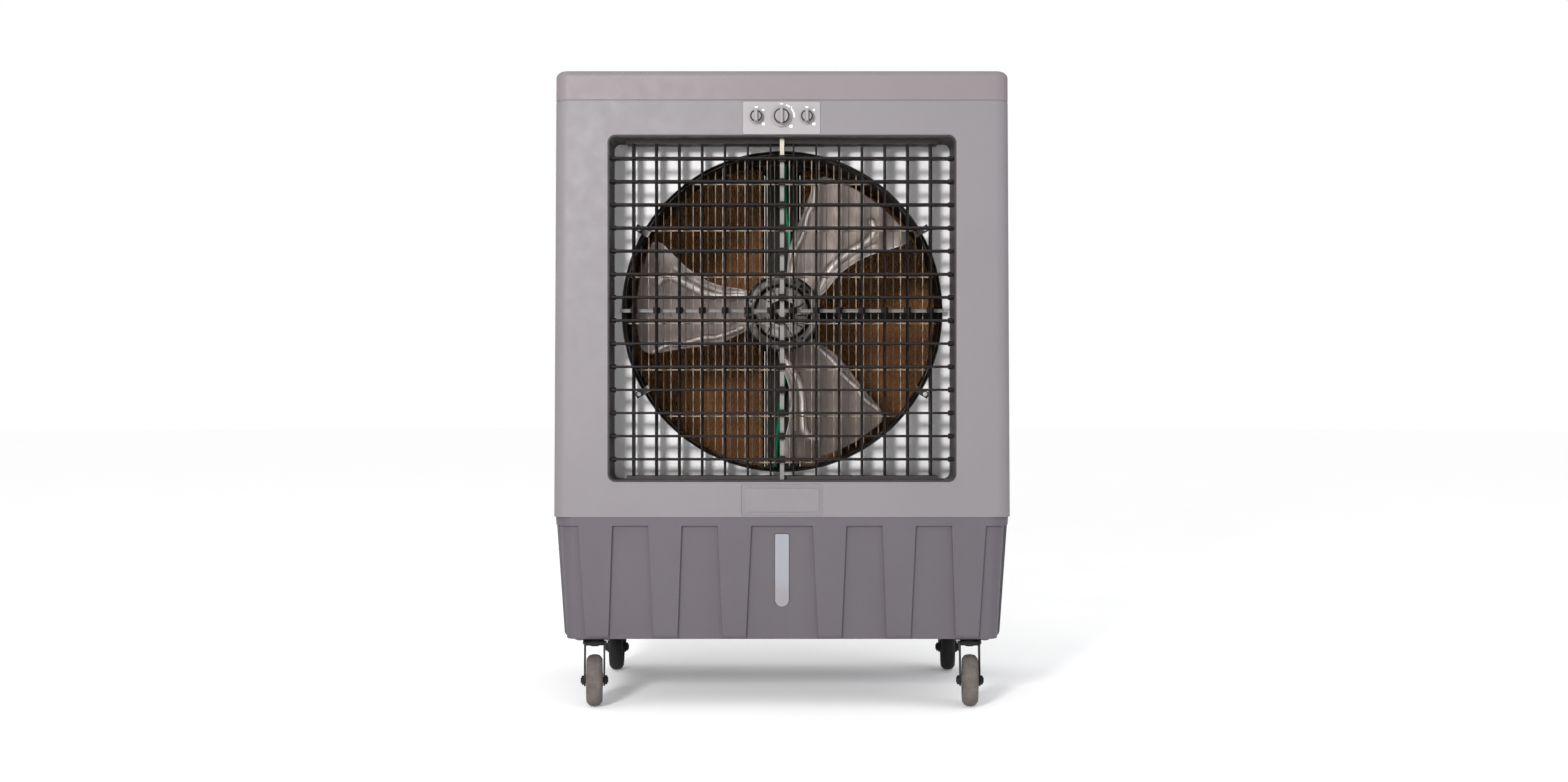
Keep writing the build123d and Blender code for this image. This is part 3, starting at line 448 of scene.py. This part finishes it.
def window_plastic(name):
    """Milky strip through which the water shows: a paler, rosier foot where the water stands."""
    s = Shader(name)
    low = WINDOW[0].z
    high = WINDOW[1].z
    rise = s.ramp(s.axis("Z"), low + 0.22 * (high - low), low + 0.34 * (high - low))
    tone = s.mix(rise, srgb(130, 126, 129), srgb(133, 135, 142))
    haze = s.ramp(s.noise(60.0, 4.0, 0.65, s.stretched((1.0, 1.0, 0.3))), 0.35, 0.7)
    tone = s.mix(s.maths("MULTIPLY", haze, 0.3), tone, srgb(142, 144, 150))
    s.bump(s.noise(120.0, 3.0), 0.12, 0.0006)
    return s.finish(tone, s.ramp(haze, 0.0, 1.0, 0.3, 0.45), IOR=1.49, Subsurface_Weight=0.15)


def floor_surface(name):
    """Pale studio floor with a barely seen mottle."""
    s = Shader(name)
    tone = s.mix(s.ramp(s.noise(3.0, 4.0), 0.3, 0.7), srgb(252, 252, 252), srgb(248, 248, 248))
    return s.finish(tone, 0.95, Specular_IOR_Level=0.1, Emission_Color=(1.0, 1.0, 1.0, 1.0),
                    Emission_Strength=0.12)


HOUSING_GREY = srgb(118, 114, 117)
COVER_GREY = srgb(118, 111, 114)
TANK_GREY = srgb(85, 80, 86)
LOUVER_DARK = srgb(32, 28, 28)
EVEN = (20.0, 20.0, 20.0)
FINE = (30.0, 30.0, 30.0)

# The housing plastic is painted dark inside the casing, as painted shade.
HOUSING_MAT = moulded_plastic("housing_plastic", HOUSING_GREY, streaks=0.08, dust=0.2, spread=0.03,
                              level=0.35, paint=painted_plenum_shade)
COVER_MAT = moulded_plastic("cover_plastic", COVER_GREY, streaks=0.06, dust=0.2, spread=0.04,
                            level=0.35)
TANK_MAT = moulded_plastic("tank_plastic", TANK_GREY, streaks=0.16, dust=0.2, spread=0.05,
                           level=0.35)
PANEL_MAT = moulded_plastic("panel_plastic", srgb(144, 140, 142), 0.4, grain=1100, spread=0.02,
                            level=0.35)
KNOB_MAT = moulded_plastic("knob_plastic", srgb(134, 130, 132), 0.36, grain=1300, spread=0.03,
                           level=0.35)
KNOB_DARK_MAT = moulded_plastic("knob_dark_plastic", srgb(22, 20, 21), 0.42, grain=1300,
                                spread=0.05, level=0.2)
SHROUD_MAT = moulded_plastic("shroud_paint", srgb(232, 231, 232), dust=0.2, streaks=0.10,
                             spread=0.02, level=0.3, paint=black_barrel)
LOUVER_MAT = moulded_plastic("louver_plastic", LOUVER_DARK, dust=0.25, streaks=0.08, spread=0.12,
                             level=0.12)
FRAME_DARK_MAT = moulded_plastic("louver_frame_plastic", srgb(64, 60, 60), 0.55, dust=0.25,
                                 streaks=0.1, level=0.2)
LEVEL_LINK_MAT = moulded_plastic("level_link_plastic", srgb(124, 121, 118), 0.45, dust=0.2,
                                 streaks=0.2, spread=0.06, level=0.4)
LINK_MAT = moulded_plastic("link_plastic", srgb(122, 120, 117), dust=0.2, streaks=0.3, spread=0.06,
                           level=0.3, paint=cream_end)
GRILLE_MAT = moulded_plastic("grille_plastic", srgb(110, 107, 110), 0.48, dust=0.3, streaks=0.1)
TROUGH_MAT = moulded_plastic("distributor_plastic", srgb(120, 120, 122), dust=0.2, streaks=0.2)
DARK_PLASTIC_MAT = moulded_plastic("dark_plastic", srgb(36, 35, 37), 0.46, dust=0.2, level=0.25)
BLACK_MAT = moulded_plastic("black_rubber", srgb(12, 11, 12), 0.6, dust=0.1, level=0.1)
MARK_MAT = moulded_plastic("mark_paint", srgb(246, 245, 246), grain=1500, spread=0.01)
WIRE_MAT = brushed_metal("guard_wire", srgb(164, 152, 136), 0.45, 0.1, (8.0, 8.0, 40.0),
                         srgb(150, 130, 106), dark_rim)
# The blades carry a painted highlight on their beads and curled edge.
BLADE_MAT = brushed_metal("blade_aluminium", srgb(146, 132, 127), 0.42, 0.2, (44.0, 44.0, 2.0),
                          srgb(116, 103, 96), painted_crest_highlight)
HUB_MAT = brushed_metal("hub_plate", srgb(138, 134, 134), 0.42, 0.4, FINE, srgb(100, 94, 92),
                        hub_zones)
HUB_PALE_MAT = brushed_metal("hub_cast_band", srgb(136, 132, 130), 0.42, 0.4, FINE,
                             srgb(96, 90, 88))
STEEL_MAT = brushed_metal("bright_steel", srgb(200, 199, 198), 0.3, 1.0, FINE, srgb(140, 134, 128))
DARK_STEEL_MAT = brushed_metal("dark_steel", srgb(34, 33, 34), 0.5, 0.2, EVEN, srgb(22, 21, 21),
                               level=0.25)
BRACKET_MAT = brushed_metal("bracket_paint", srgb(24, 23, 24), 0.6, 0.0, EVEN, srgb(16, 15, 15),
                            level=0.12)
MOTOR_MAT = brushed_metal("motor_casting", srgb(58, 60, 64), 0.52, 0.3, EVEN, srgb(36, 35, 35),
                          level=0.3)
TYRE_MAT = rubber("tyre_rubber", srgb(84, 78, 74), 0.75, srgb(112, 104, 99))
# The rear tyres match the front ones, painted darker as painted shade.
TYRE_PAINTED_SHADE_MAT = rubber("tyre_rubber_painted_shade", srgb(22, 21, 21), 0.7, srgb(34, 32, 31))
PAD_MAT = pad_paper("pad_paper")
HOSE_MAT = hose_plastic("hose_plastic")
WINDOW_MAT = window_plastic("window_plastic")


# ---- camera and hose, made first ----
CAMERA_PLACE = (4.2 * MM, FRONT_Y - 3.15, 0.645)
CAMERA_LENS = 34.2
IMAGE_WIDTH = 1568
IMAGE_LIFT = 15


def camera():
    """Camera in front of the outlet, a little below its middle, level and square to the front."""
    camera_data = bpy.data.cameras.new("camera")
    camera_data.sensor_width = 36
    camera_data.lens = CAMERA_LENS
    camera_data.shift_y = IMAGE_LIFT / IMAGE_WIDTH
    viewer = bpy.data.objects.new("camera", camera_data)
    bpy.context.scene.collection.objects.link(viewer)
    viewer.location = CAMERA_PLACE
    viewer.rotation_euler = (math.radians(90), 0, 0)
    bpy.context.scene.camera = viewer


HOSE_R = 5.8 * MM
HOSE_ROUTE = (
    (-0.022, 0.171, 0.244),
    (-0.022, 0.171, 0.338),
    (-0.019, 0.172, 0.500),
    (-0.005, 0.174, 0.640),
    (0.012, 0.177, 0.780),
    (0.021, 0.181, 0.920),
    (0.018, 0.185, 1.050),
    (0.006, 0.1885, 1.150),
    (0.006, 0.1885, 1.234),
)


def water_hose():
    """Hose that rises from the pump to the distributor, slack between its two ends."""
    run = bpy.data.curves.new("water_hose_run", "CURVE")
    run.dimensions = "3D"
    run.bevel_depth = HOSE_R
    run.bevel_resolution = 6
    run.resolution_u = 16
    run.use_fill_caps = True
    spline = run.splines.new("NURBS")
    spline.points.add(len(HOSE_ROUTE) - 1)
    for point, place in zip(spline.points, HOSE_ROUTE):
        point.co = (*place, 1.0)
    spline.order_u = 3
    spline.use_endpoint_u = True
    hose = bpy.data.objects.new("water_hose_run", run)
    bpy.context.scene.collection.objects.link(hose)
    dress(hose, HOSE_MAT, CABINET)
    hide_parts("water_hose")


# ---- casings ----
def casings():
    """Housing, cover, tank and level window with rounded edges."""
    softened("housing_shell", HOUSING_MAT, 1.6 * MM, 3, clean=open_seams)
    softened("top_cover", COVER_MAT, 1.0 * MM, 2)
    softened("water_tank", TANK_MAT, 2.2 * MM, 3)
    softened("level_window", WINDOW_MAT, 1.4 * MM, 3)
    paint_node("fan_shroud", SHROUD_MAT)
    paint_node("water_distributor", TROUGH_MAT)
    paint_node("pump", DARK_PLASTIC_MAT)
    paint_node("rear_grilles", GRILLE_MAT)


def outlet():
    """Louver sleeve, louvers, link bars and wire guard."""
    softened("louver_frame", FRAME_DARK_MAT, 0.8 * MM, 2)
    for node in frame["nodes"]:
        is_louver = node.startswith(("horizontal_louver_", "vertical_louver_"))
        if is_louver and not node.endswith("_link"):
            paint_node(node, LOUVER_MAT)
    softened("horizontal_louver_link", LINK_MAT, 0.7 * MM, 2)
    softened("vertical_louver_link", LEVEL_LINK_MAT, 0.7 * MM, 2)
    paint_node("fan_guard", WIRE_MAT)


# ---- fan ----
BLADE_CENTRES = (54, 174, 294)
BLADE_INNER = 66 * MM
BLADE_DEPTH = 85 * MM
BLADE_TILT = 29 * MM
BLADE_CAMBER = 16 * MM
BLADE_SHEET = 2.2 * MM
BLADE_HALF_ANGLE = 24
BLADE_STEPS = (110, 96)
TIP_ROUND = 24 * MM
LIP_HEIGHT = 7 * MM
RIB_HEIGHT = 6.5 * MM
RIB_STEPS = 28
# Outlines and embossed lines of a blade that points along +X: (radius in mm, angle in degrees).
FRONT_EDGE = ((60, -36), (98, -28), (150, -19.6), (197, -18.5), (235, -20), (280, -22.8),
              (320, -25), (340, -26))
BACK_EDGE = ((60, 28), (112, 30), (149, 30), (237, 24.7), (311, 22.5), (340, 21.5))
BEAD = ((84, -27), (98, -20.5), (140, -11), (185, -10), (230, -12), (263, -13), (284, -11), (292, -8))
TWIN = ((88, -30), (98, -24.5), (140, -15.5), (185, -14.5), (230, -16), (262, -17.2))
BACK_RIB = ((96, 23), (112, 24), (157, 24), (187, 21.7), (239, 21.7), (265, 20.4), (305, 21.7))


def smooth_between(points, radius):
    """Angle at a radius, on a smooth line through (radius in mm, angle in degrees) points."""
    if radius <= points[0][0]:
        return points[0][1]
    for i in range(len(points) - 1):
        r0, a0 = points[i]
        r1, a1 = points[i + 1]
        if radius <= r1:
            before = points[max(i - 1, 0)]
            after = points[min(i + 2, len(points) - 1)]
            slope0 = (a1 - before[1]) / (r1 - before[0])
            slope1 = (after[1] - a0) / (after[0] - r0)
            t = (radius - r0) / (r1 - r0)
            span = r1 - r0
            return ((2 * t ** 3 - 3 * t ** 2 + 1) * a0 + (t ** 3 - 2 * t ** 2 + t) * slope0 * span
                    + (3 * t ** 2 - 2 * t ** 3) * a1 + (t ** 3 - t ** 2) * slope1 * span)
    return points[-1][1]


def rib_line(points):
    """Flat line along a rib, from its (radius, angle) points."""
    line = []
    for i in range(RIB_STEPS + 1):
        radius = points[0][0] + (points[-1][0] - points[0][0]) * i / RIB_STEPS
        angle = math.radians(smooth_between(points, radius))
        line.append(Vector((radius * math.cos(angle), radius * math.sin(angle))) * MM)
    return line


def near_line(point, line):
    """Distance from a point to a polyline."""
    best = 1.0
    for a, b in zip(line, line[1:]):
        span = b - a
        t = max(0.0, min(1.0, (point - a).dot(span) / max(span.length_squared, 1e-12)))
        best = min(best, (point - a - span * t).length)
    return best


def blade_ribs():
    """Embossed lines of a blade that points along +X: line, half width and height share."""
    return [(rib_line(BEAD), 5.6 * MM, 1.0), (rib_line(TWIN), 3.0 * MM, 0.5),
            (rib_line(BACK_RIB), 4.2 * MM, 0.75)]


def blade_lip(point_angle, radius):
    """Share of the way from the bead to the front edge, where the sheet curls forward."""
    bead = smooth_between(BEAD, radius)
    edge = smooth_between(FRONT_EDGE, radius)
    return max(0.0, min(1.0, (point_angle - bead) / (edge - bead)))


def blade_point(t, u, ribs):
    """Point of a blade that points along +X, and how much painted highlight it gets.

    t runs from the root to the tip, and u from the front edge to the back edge.
    """
    edge = 2 * abs(u - 0.5)
    tip = FAN_R - TIP_ROUND * max(0.0, (edge - 0.86) / 0.14) ** 2.2
    radius = BLADE_INNER + (tip - BLADE_INNER) * t
    low = smooth_between(FRONT_EDGE, radius / MM)
    high = smooth_between(BACK_EDGE, radius / MM)
    degrees = low + (high - low) * u
    angle = math.radians(degrees)
    flat = Vector((radius * math.cos(angle), radius * math.sin(angle)))
    lateral = flat.y / (FAN_R * math.sin(math.radians(BLADE_HALF_ANGLE)))
    depth = BLADE_TILT * lateral + BLADE_CAMBER * (1 - lateral ** 2)
    painted_highlight = 0.0
    for line, width, strength in ribs:
        gap = near_line(flat, line)
        if gap < 3 * width:
            swell = strength * math.exp(-(gap / width) ** 2)
            depth -= RIB_HEIGHT * swell
            painted_highlight = max(painted_highlight, swell)
    lip = blade_lip(degrees, radius / MM)
    depth -= LIP_HEIGHT * lip ** 1.6
    return (flat.x, depth, flat.y), max(painted_highlight, 0.5 * lip)


def fan_blade(name, centre_angle):
    """One cambered blade with embossed ribs, a curled front edge and rounded tip corners."""
    bm = bmesh.new()
    # The crest attribute holds where the painted highlight lies on the beads and the curled edge.
    crest = bm.verts.layers.float.new("crest")
    ribs = blade_ribs()
    along_steps, across_steps = BLADE_STEPS
    grid = []
    for i in range(along_steps + 1):
        row = []
        for j in range(across_steps + 1):
            place, painted_highlight = blade_point(i / along_steps, j / across_steps, ribs)
            vert = bm.verts.new(place)
            vert[crest] = painted_highlight
            row.append(vert)
        grid.append(row)
    for i in range(along_steps):
        for j in range(across_steps):
            bm.faces.new((grid[i][j], grid[i + 1][j], grid[i + 1][j + 1], grid[i][j + 1]))
    turn = Matrix.Rotation(-math.radians(centre_angle), 4, "Y")
    place = Matrix.Translation((0, FAN_FACE_Y + BLADE_DEPTH, OUTLET_Z)) @ turn
    bmesh.ops.transform(bm, matrix=place, verts=bm.verts)
    obj = from_bmesh(name, bm, 60)
    add_modifier(obj, "SOLIDIFY", thickness=BLADE_SHEET, offset=0.0)
    bake_modifiers(obj)
    return dress(obj, BLADE_MAT, "fan")


def ring_piece(name, inner, outer, front, back, material, spans=((0, 360),), steps=96,
               centre=Vector((0, 0, OUTLET_Z)), body="fan", slot="hub"):
    """Flat ring round an axis along Y, with rounded rims, made over spans of angle."""
    bm = bmesh.new()
    bevel = min(1.2 * MM, (outer - inner) / 4)
    section = [(inner, front + bevel), (inner + bevel, front), (outer - bevel, front),
               (outer, front + bevel), (outer, back), (inner, back)]
    for start, end in spans:
        count = max(3, int(steps * (end - start) / 360))
        closed = end - start >= 359.9
        rings = []
        for i in range(count if closed else count + 1):
            turn = math.radians(start + (end - start) * i / count)
            rings.append([bm.verts.new((centre.x + r * math.cos(turn), y, centre.z + r * math.sin(turn)))
                          for r, y in section])
        pairs = list(zip(rings, rings[1:]))
        if closed:
            pairs.append((rings[-1], rings[0]))
        for lower, upper in pairs:
            for k in range(len(section)):
                m = (k + 1) % len(section)
                bm.faces.new((lower[k], lower[m], upper[m], upper[k]))
        if not closed:
            bm.faces.new(rings[0])
            bm.faces.new(list(reversed(rings[-1])))
    obj = from_bmesh(name, bm, 40)
    return dress(obj, material, body)


RIM_RING = (80 * MM, 84.5 * MM)
CAST_BAND = (66 * MM, 78 * MM)
BLACK_RING = (57.5 * MM, 64 * MM)
SLOT_SPAN = (33 * MM, 54 * MM)
SLOT_COUNT = 12
SLOT_SWEEP = 5 * MM
COLLAR_R = 30 * MM
NUT_R = 17 * MM
NUT_RISE = 11 * MM
RIVET_CIRCLE = 72 * MM
RIVET_R = 3.5 * MM


def hub_nose():
    """Black collar and the domed nut on the shaft's end."""
    centre = (0, FAN_FACE_Y, OUTLET_Z)
    profile = [(0, 6 * MM), (COLLAR_R, 6 * MM), (COLLAR_R, 0), (27 * MM, -6 * MM),
               (20 * MM, -8 * MM), (0, -8 * MM)]
    collar = lathe("hub_collar", profile, "Y", centre, 8, 20)
    dress(collar, BLACK_MAT, "fan")
    steps = 8
    dome = []
    for i in range(steps + 1):
        turn = math.pi / 2 * i / steps
        dome.append((NUT_R * math.sin(turn), -8 * MM - NUT_RISE * math.cos(turn)))
    dome += [(18 * MM, -5 * MM), (0, -5 * MM)]
    nut = lathe("shaft_nut", dome, "Y", centre, 10, 20)
    dress(nut, STEEL_MAT, "fan")


def hub_slots():
    """Swept black slots round the collar."""
    bm = bmesh.new()
    start, end = SLOT_SPAN
    for k in range(SLOT_COUNT):
        turn = Matrix.Rotation(math.radians(360 / SLOT_COUNT * k + 12), 4, "Y")
        place = Matrix.Translation((0, FAN_FACE_Y, OUTLET_Z)) @ turn
        verts = box_mesh(bm, (start, -0.6 * MM, -1.1 * MM), (end, 2 * MM, 1.1 * MM))
        for vert in verts:
            vert.co.z += SLOT_SWEEP * ((vert.co.x - start) / (end - start)) ** 2
        bmesh.ops.transform(bm, matrix=place, verts=verts)
    slots = from_bmesh("hub_slots", bm)
    add_modifier(slots, "BEVEL", width=0.4 * MM, segments=2, limit_method="ANGLE")
    bake_modifiers(slots)
    dress(slots, BLACK_MAT, "fan")


def blade_rivets():
    """Three flat rivets at the root of each blade."""
    bm = bmesh.new()
    for centre in BLADE_CENTRES:
        for spread in (-14, 0, 14):
            turn = math.radians(centre + spread)
            spot = Vector((RIVET_CIRCLE * math.cos(turn), FAN_FACE_Y + 3 * MM,
                           OUTLET_Z + RIVET_CIRCLE * math.sin(turn)))
            made = bmesh.ops.create_uvsphere(bm, u_segments=12, v_segments=8, radius=RIVET_R)
            flat = Matrix.Translation(spot) @ Matrix.Diagonal((1, 0.6, 1, 1))
            bmesh.ops.transform(bm, matrix=flat, verts=made["verts"])
    rivets = from_bmesh("blade_rivets", bm)
    dress(rivets, DARK_STEEL_MAT, "fan")


def fan_centre():
    """Hub plate with black ring, cast bands, rim, collar, nut, slots and rivets."""
    face = FAN_FACE_Y
    softened("fan_hub", HUB_MAT, 0.8 * MM, 2)
    ring_piece("hub_ring", *BLACK_RING, face - 2 * MM, face + 4 * MM, BLACK_MAT,
               ((4, 84), (96, 176), (184, 264), (276, 356)))
    ring_piece("hub_cast_band", *CAST_BAND, face + 2 * MM, face + 6 * MM, HUB_PALE_MAT,
               ((118, 166), (306, 336)))
    ring_piece("hub_rim", *RIM_RING, face + 2 * MM, face + 8 * MM, DARK_STEEL_MAT)
    hub_nose()
    hub_slots()
    blade_rivets()


def fan():
    """Blades and centre."""
    blades = [fan_blade(f"fan_blade_{i + 1}", angle) for i, angle in enumerate(BLADE_CENTRES)]
    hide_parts("fan_blades")
    fan_centre()


# ---- pads ----
PAD_INNER = 47 * MM
PAD_PAPER = 0.9 * MM
FLUTE_PITCH = 8 * MM
FLUTE_WAVE = 8 * MM
FLUTE_SLOPE = 60 * MM
RIPPLE = 4 * MM
RIPPLE_HEIGHT = 1.1 * MM
SHEET_INSET = 4.5 * MM


def pleated_sheet(bm, side, inner, half, y, low, high):
    """Upright corrugated sheet that closes the pad's flutes a little behind its face."""
    rows = 12
    columns = int((half - inner) / (RIPPLE / 4))
    grid = []
    for i in range(columns + 1):
        x = inner + (half - inner) * i / columns
        swell = RIPPLE_HEIGHT * math.cos(2 * math.pi * x / RIPPLE)
        column = []
        for j in range(rows + 1):
            column.append(bm.verts.new((side * x, y + swell, low + (high - low) * j / rows)))
        grid.append(column)
    for i in range(columns):
        for j in range(rows):
            bm.faces.new((grid[i][j], grid[i + 1][j], grid[i + 1][j + 1], grid[i][j + 1]))


def fluted_sheet(bm, middle, lean):
    """Zigzag sheet from the pad's front to its back, taller than the pad and sloping by lean."""
    low, high = PADS[0].z, PADS[1].z
    steps = int((high - low + 2 * FLUTE_SLOPE) / FLUTE_WAVE)
    fronts, backs = [], []
    for i in range(steps + 1):
        z = low - FLUTE_SLOPE + i * FLUTE_WAVE
        swing = (1 if i % 2 else -1) * FLUTE_PITCH * 0.46
        fronts.append(bm.verts.new((middle + swing, PADS[0].y, z - lean / 2)))
        backs.append(bm.verts.new((middle + swing, PADS[1].y, z + lean / 2)))
    for i in range(steps):
        bm.faces.new((fronts[i], fronts[i + 1], backs[i + 1], backs[i]))


def cooling_pads():
    """Two cross-fluted pads: thin zigzag sheets whose flutes slope in turn up and down."""
    half = (PADS[1].x - PADS[0].x) / 2
    low, high = PADS[0].z, PADS[1].z
    for side, name in ((-1, "pad_left"), (1, "pad_right")):
        bm = bmesh.new()
        for k in range(int((half - PAD_INNER) / FLUTE_PITCH)):
            middle = side * (PAD_INNER + FLUTE_PITCH * (k + 0.5))
            fluted_sheet(bm, middle, FLUTE_SLOPE if k % 2 else -FLUTE_SLOPE)
        for plane_z, normal in ((low, -1), (high, 1)):
            geometry = bm.verts[:] + bm.edges[:] + bm.faces[:]
            bmesh.ops.bisect_plane(bm, geom=geometry, plane_co=(0, 0, plane_z),
                                   plane_no=(0, 0, normal), clear_outer=True)
        for y in (PADS[0].y + SHEET_INSET, PADS[1].y - SHEET_INSET):
            pleated_sheet(bm, side, PAD_INNER + 1 * MM, half - 1 * MM, y, low + 1 * MM, high - 1 * MM)
        obj = from_bmesh(name, bm, 20)
        add_modifier(obj, "SOLIDIFY", thickness=PAD_PAPER, offset=0.0)
        bake_modifiers(obj)
        dress(obj, PAD_MAT, CABINET)
        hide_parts("cooling_pads")


# ---- controls ----
KNOB_FACE = 14 * MM
KNOB_CAPS = {"fan_knob": 12.7 * MM, "swing_knob": 16.5 * MM, "pump_knob": 12.7 * MM}
MARK_REACH = {"fan_knob": 21 * MM, "swing_knob": 28 * MM, "pump_knob": 21 * MM}
# Marks round each knob: angle from the top in degrees, width and height in mm.
MARKS = ((0, 6.0, 2.6), (45, 4.2, 3.6), (135, 6.0, 5.0))
ARC_REACH = 27 * MM
ARC_DOTS = 14
ARC_DOT = 2.6 * MM
MARK_RISE = 0.25 * MM
MARK_SINK = 0.1 * MM


def panel_mark(bm, knob_centre, reach, angle, wide, tall):
    """Thin raised mark on the panel, at a distance and an angle from a knob's centre."""
    front = PANEL[0].y
    turn = math.radians(angle)
    spot = Vector((knob_centre.x + reach * math.cos(turn), front,
                   knob_centre.z + reach * math.sin(turn)))
    half = Vector((wide / 2, 0, tall / 2))
    box_mesh(bm, spot - half - Vector((0, MARK_RISE, 0)), spot + half + Vector((0, MARK_SINK, 0)))


def knobs():
    """Panel, knobs and their dark rings, and the plain marks round them."""
    softened("control_panel", PANEL_MAT, 0.8 * MM, 3)
    face = PANEL[0].y - KNOB_FACE
    marks = bmesh.new()
    for node, cap in KNOB_CAPS.items():
        low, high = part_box(node)
        centre = (low + high) / 2
        softened(node, KNOB_MAT, 0.7 * MM, 3)
        gap = 12 if node == "swing_knob" else 24
        spans = ((90 + gap, 270 - gap), (gap - 90, 90 - gap))
        ring_piece(node + "_ring", cap - 3.2 * MM, cap - 0.3 * MM, face - 0.5 * MM, face + 2.5 * MM,
                   KNOB_DARK_MAT, spans, 72, centre, body_of(node), "knob")
        for angle, wide, tall in MARKS:
            panel_mark(marks, centre, MARK_REACH[node], 90 - angle, wide * MM, tall * MM)
    low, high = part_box("swing_knob")
    for i in range(ARC_DOTS):
        panel_mark(marks, (low + high) / 2, ARC_REACH, 66 - i * 5, ARC_DOT, ARC_DOT)
    obj = from_bmesh("panel_marks", marks)
    dress(obj, MARK_MAT, CABINET)


# ---- casters ----
TYRE_R = 55 * MM
TYRE_HALF = 17 * MM
TYRE_CROWN = 10 * MM
GROOVE_DEPTH = 0.9 * MM
RIM_R = 38 * MM
WEB_HALF = 9 * MM
HUB_OUTER = 14 * MM
BORE_R = 8.2 * MM


def wheel(node, material):
    """Tyre with a round crown and two tread grooves, on a recessed web with a hub."""
    body = body_of(node)
    joint = next(j for j in frame["joints"] if j["child"] == body)
    axis = Vector(joint["axis"]).normalized()
    hub_half = TYRE_HALF + 1.2 * MM
    side = [(BORE_R, hub_half), (HUB_OUTER, hub_half), (HUB_OUTER + 1 * MM, TYRE_HALF),
            (HUB_OUTER + 1.5 * MM, WEB_HALF), (RIM_R - 2 * MM, WEB_HALF), (RIM_R, TYRE_HALF - 1 * MM)]
    profile = [(radius, -along) for radius, along in side]
    steps = 16
    for i in range(steps + 1):
        along = -1 + 2 * i / steps
        crown = TYRE_R - TYRE_CROWN * abs(along) ** 3.4
        groove = GROOVE_DEPTH * math.exp(-((abs(along) - 0.36) / 0.06) ** 2)
        profile.append((crown - groove, along * TYRE_HALF))
    profile += reversed(side)
    tyre = lathe(node + "_tyre", profile, "Z", (0, 0, 0), 72, 40)
    turn = axis.to_track_quat("Z", "Y").to_matrix().to_4x4()
    tyre.data.transform(Matrix.Translation(Vector(joint["pos_m"])) @ turn)
    dress(tyre, material, body)
    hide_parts(node)


def casters():
    """Plates and forks with rounded edges, and the wheels; the rear tyres are darker, a painted shade for the
    shadow they stand in under the body.
    """
    softened("caster_plates", DARK_STEEL_MAT, 0.7 * MM, 2)
    for corner in ("front_left", "front_right", "rear_left", "rear_right"):
        softened(f"caster_fork_{corner}", DARK_STEEL_MAT, 0.7 * MM, 2)
        # The rear tyres get the darker rubber, which is painted shade.
        tyre = TYRE_MAT if corner.startswith("front") else TYRE_PAINTED_SHADE_MAT
        wheel(f"caster_wheel_{corner}", tyre)


def machinery():
    """Motor, bracket and screws."""
    softened("motor", MOTOR_MAT, 1.5 * MM, 2)
    softened("motor_bracket", BRACKET_MAT, 0.8 * MM, 2)
    paint_node("screws", STEEL_MAT)


# ---- studio ----
FLOOR_R = 40
# Name, place, size, power and colour of each soft light.
LIGHTS = (
    ("key", (-1.5, -4.3, 1.95), 0.7, 170, (1.0, 0.985, 0.975)),
    ("front", (0.2, -4.6, 0.9), 1.6, 14, (1.0, 1.0, 1.0)),
    ("fill", (3.4, -1.6, 1.6), 1.8, 22, (0.76, 0.86, 1.0)),
)
LIGHT_TARGET = Vector((0, 0, 0.75))


def carried(tree, value, low, high, first, last):
    """Value of the world's node tree, carried from one range to another."""
    made = tree.nodes.new("ShaderNodeMapRange")
    made.inputs["From Min"].default_value = low
    made.inputs["From Max"].default_value = high
    made.inputs["To Min"].default_value = first
    made.inputs["To Max"].default_value = last
    tree.links.new(value, made.inputs["Value"])
    return made.outputs["Result"]


def studio_world():
    """White surroundings: full behind and above the object, dimmer in front and at the sides."""
    world = bpy.data.worlds.new("studio")
    world.use_nodes = True
    tree = world.node_tree
    backdrop = tree.nodes["Background"]
    backdrop.inputs["Color"].default_value = (1.0, 1.0, 1.0, 1.0)
    ways = tree.nodes.new("ShaderNodeTexCoord")
    parts = tree.nodes.new("ShaderNodeSeparateXYZ")
    tree.links.new(ways.outputs["Generated"], parts.inputs["Vector"])
    most = tree.nodes.new("ShaderNodeMath")
    most.operation = "MAXIMUM"
    tree.links.new(carried(tree, parts.outputs["Y"], 0.35, 0.85, 0.42, 1.0), most.inputs[0])
    tree.links.new(carried(tree, parts.outputs["Z"], 0.25, 0.75, 0.0, 1.1), most.inputs[1])
    tree.links.new(most.outputs["Value"], backdrop.inputs["Strength"])
    bpy.context.scene.world = world


def studio():
    """Pale floor, surroundings and soft lights."""
    bm = bmesh.new()
    bmesh.ops.create_circle(bm, cap_ends=True, segments=64, radius=FLOOR_R)
    floor = from_bmesh("studio_floor", bm)
    floor.data.materials.append(floor_surface("floor_surface"))
    studio_world()
    bpy.context.scene.view_settings.view_transform = "Standard"
    for name, place, size, power, color in LIGHTS:
        light = bpy.data.lights.new(name, "AREA")
        light.size = size
        light.energy = power
        light.color = color
        lamp = bpy.data.objects.new(name, light)
        bpy.context.scene.collection.objects.link(lamp)
        lamp.location = place
        lamp.rotation_euler = (LIGHT_TARGET - Vector(place)).to_track_quat("-Z", "Y").to_euler()


camera()
water_hose()
casings()
outlet()
fan()
cooling_pads()
knobs()
casters()
machinery()
studio()
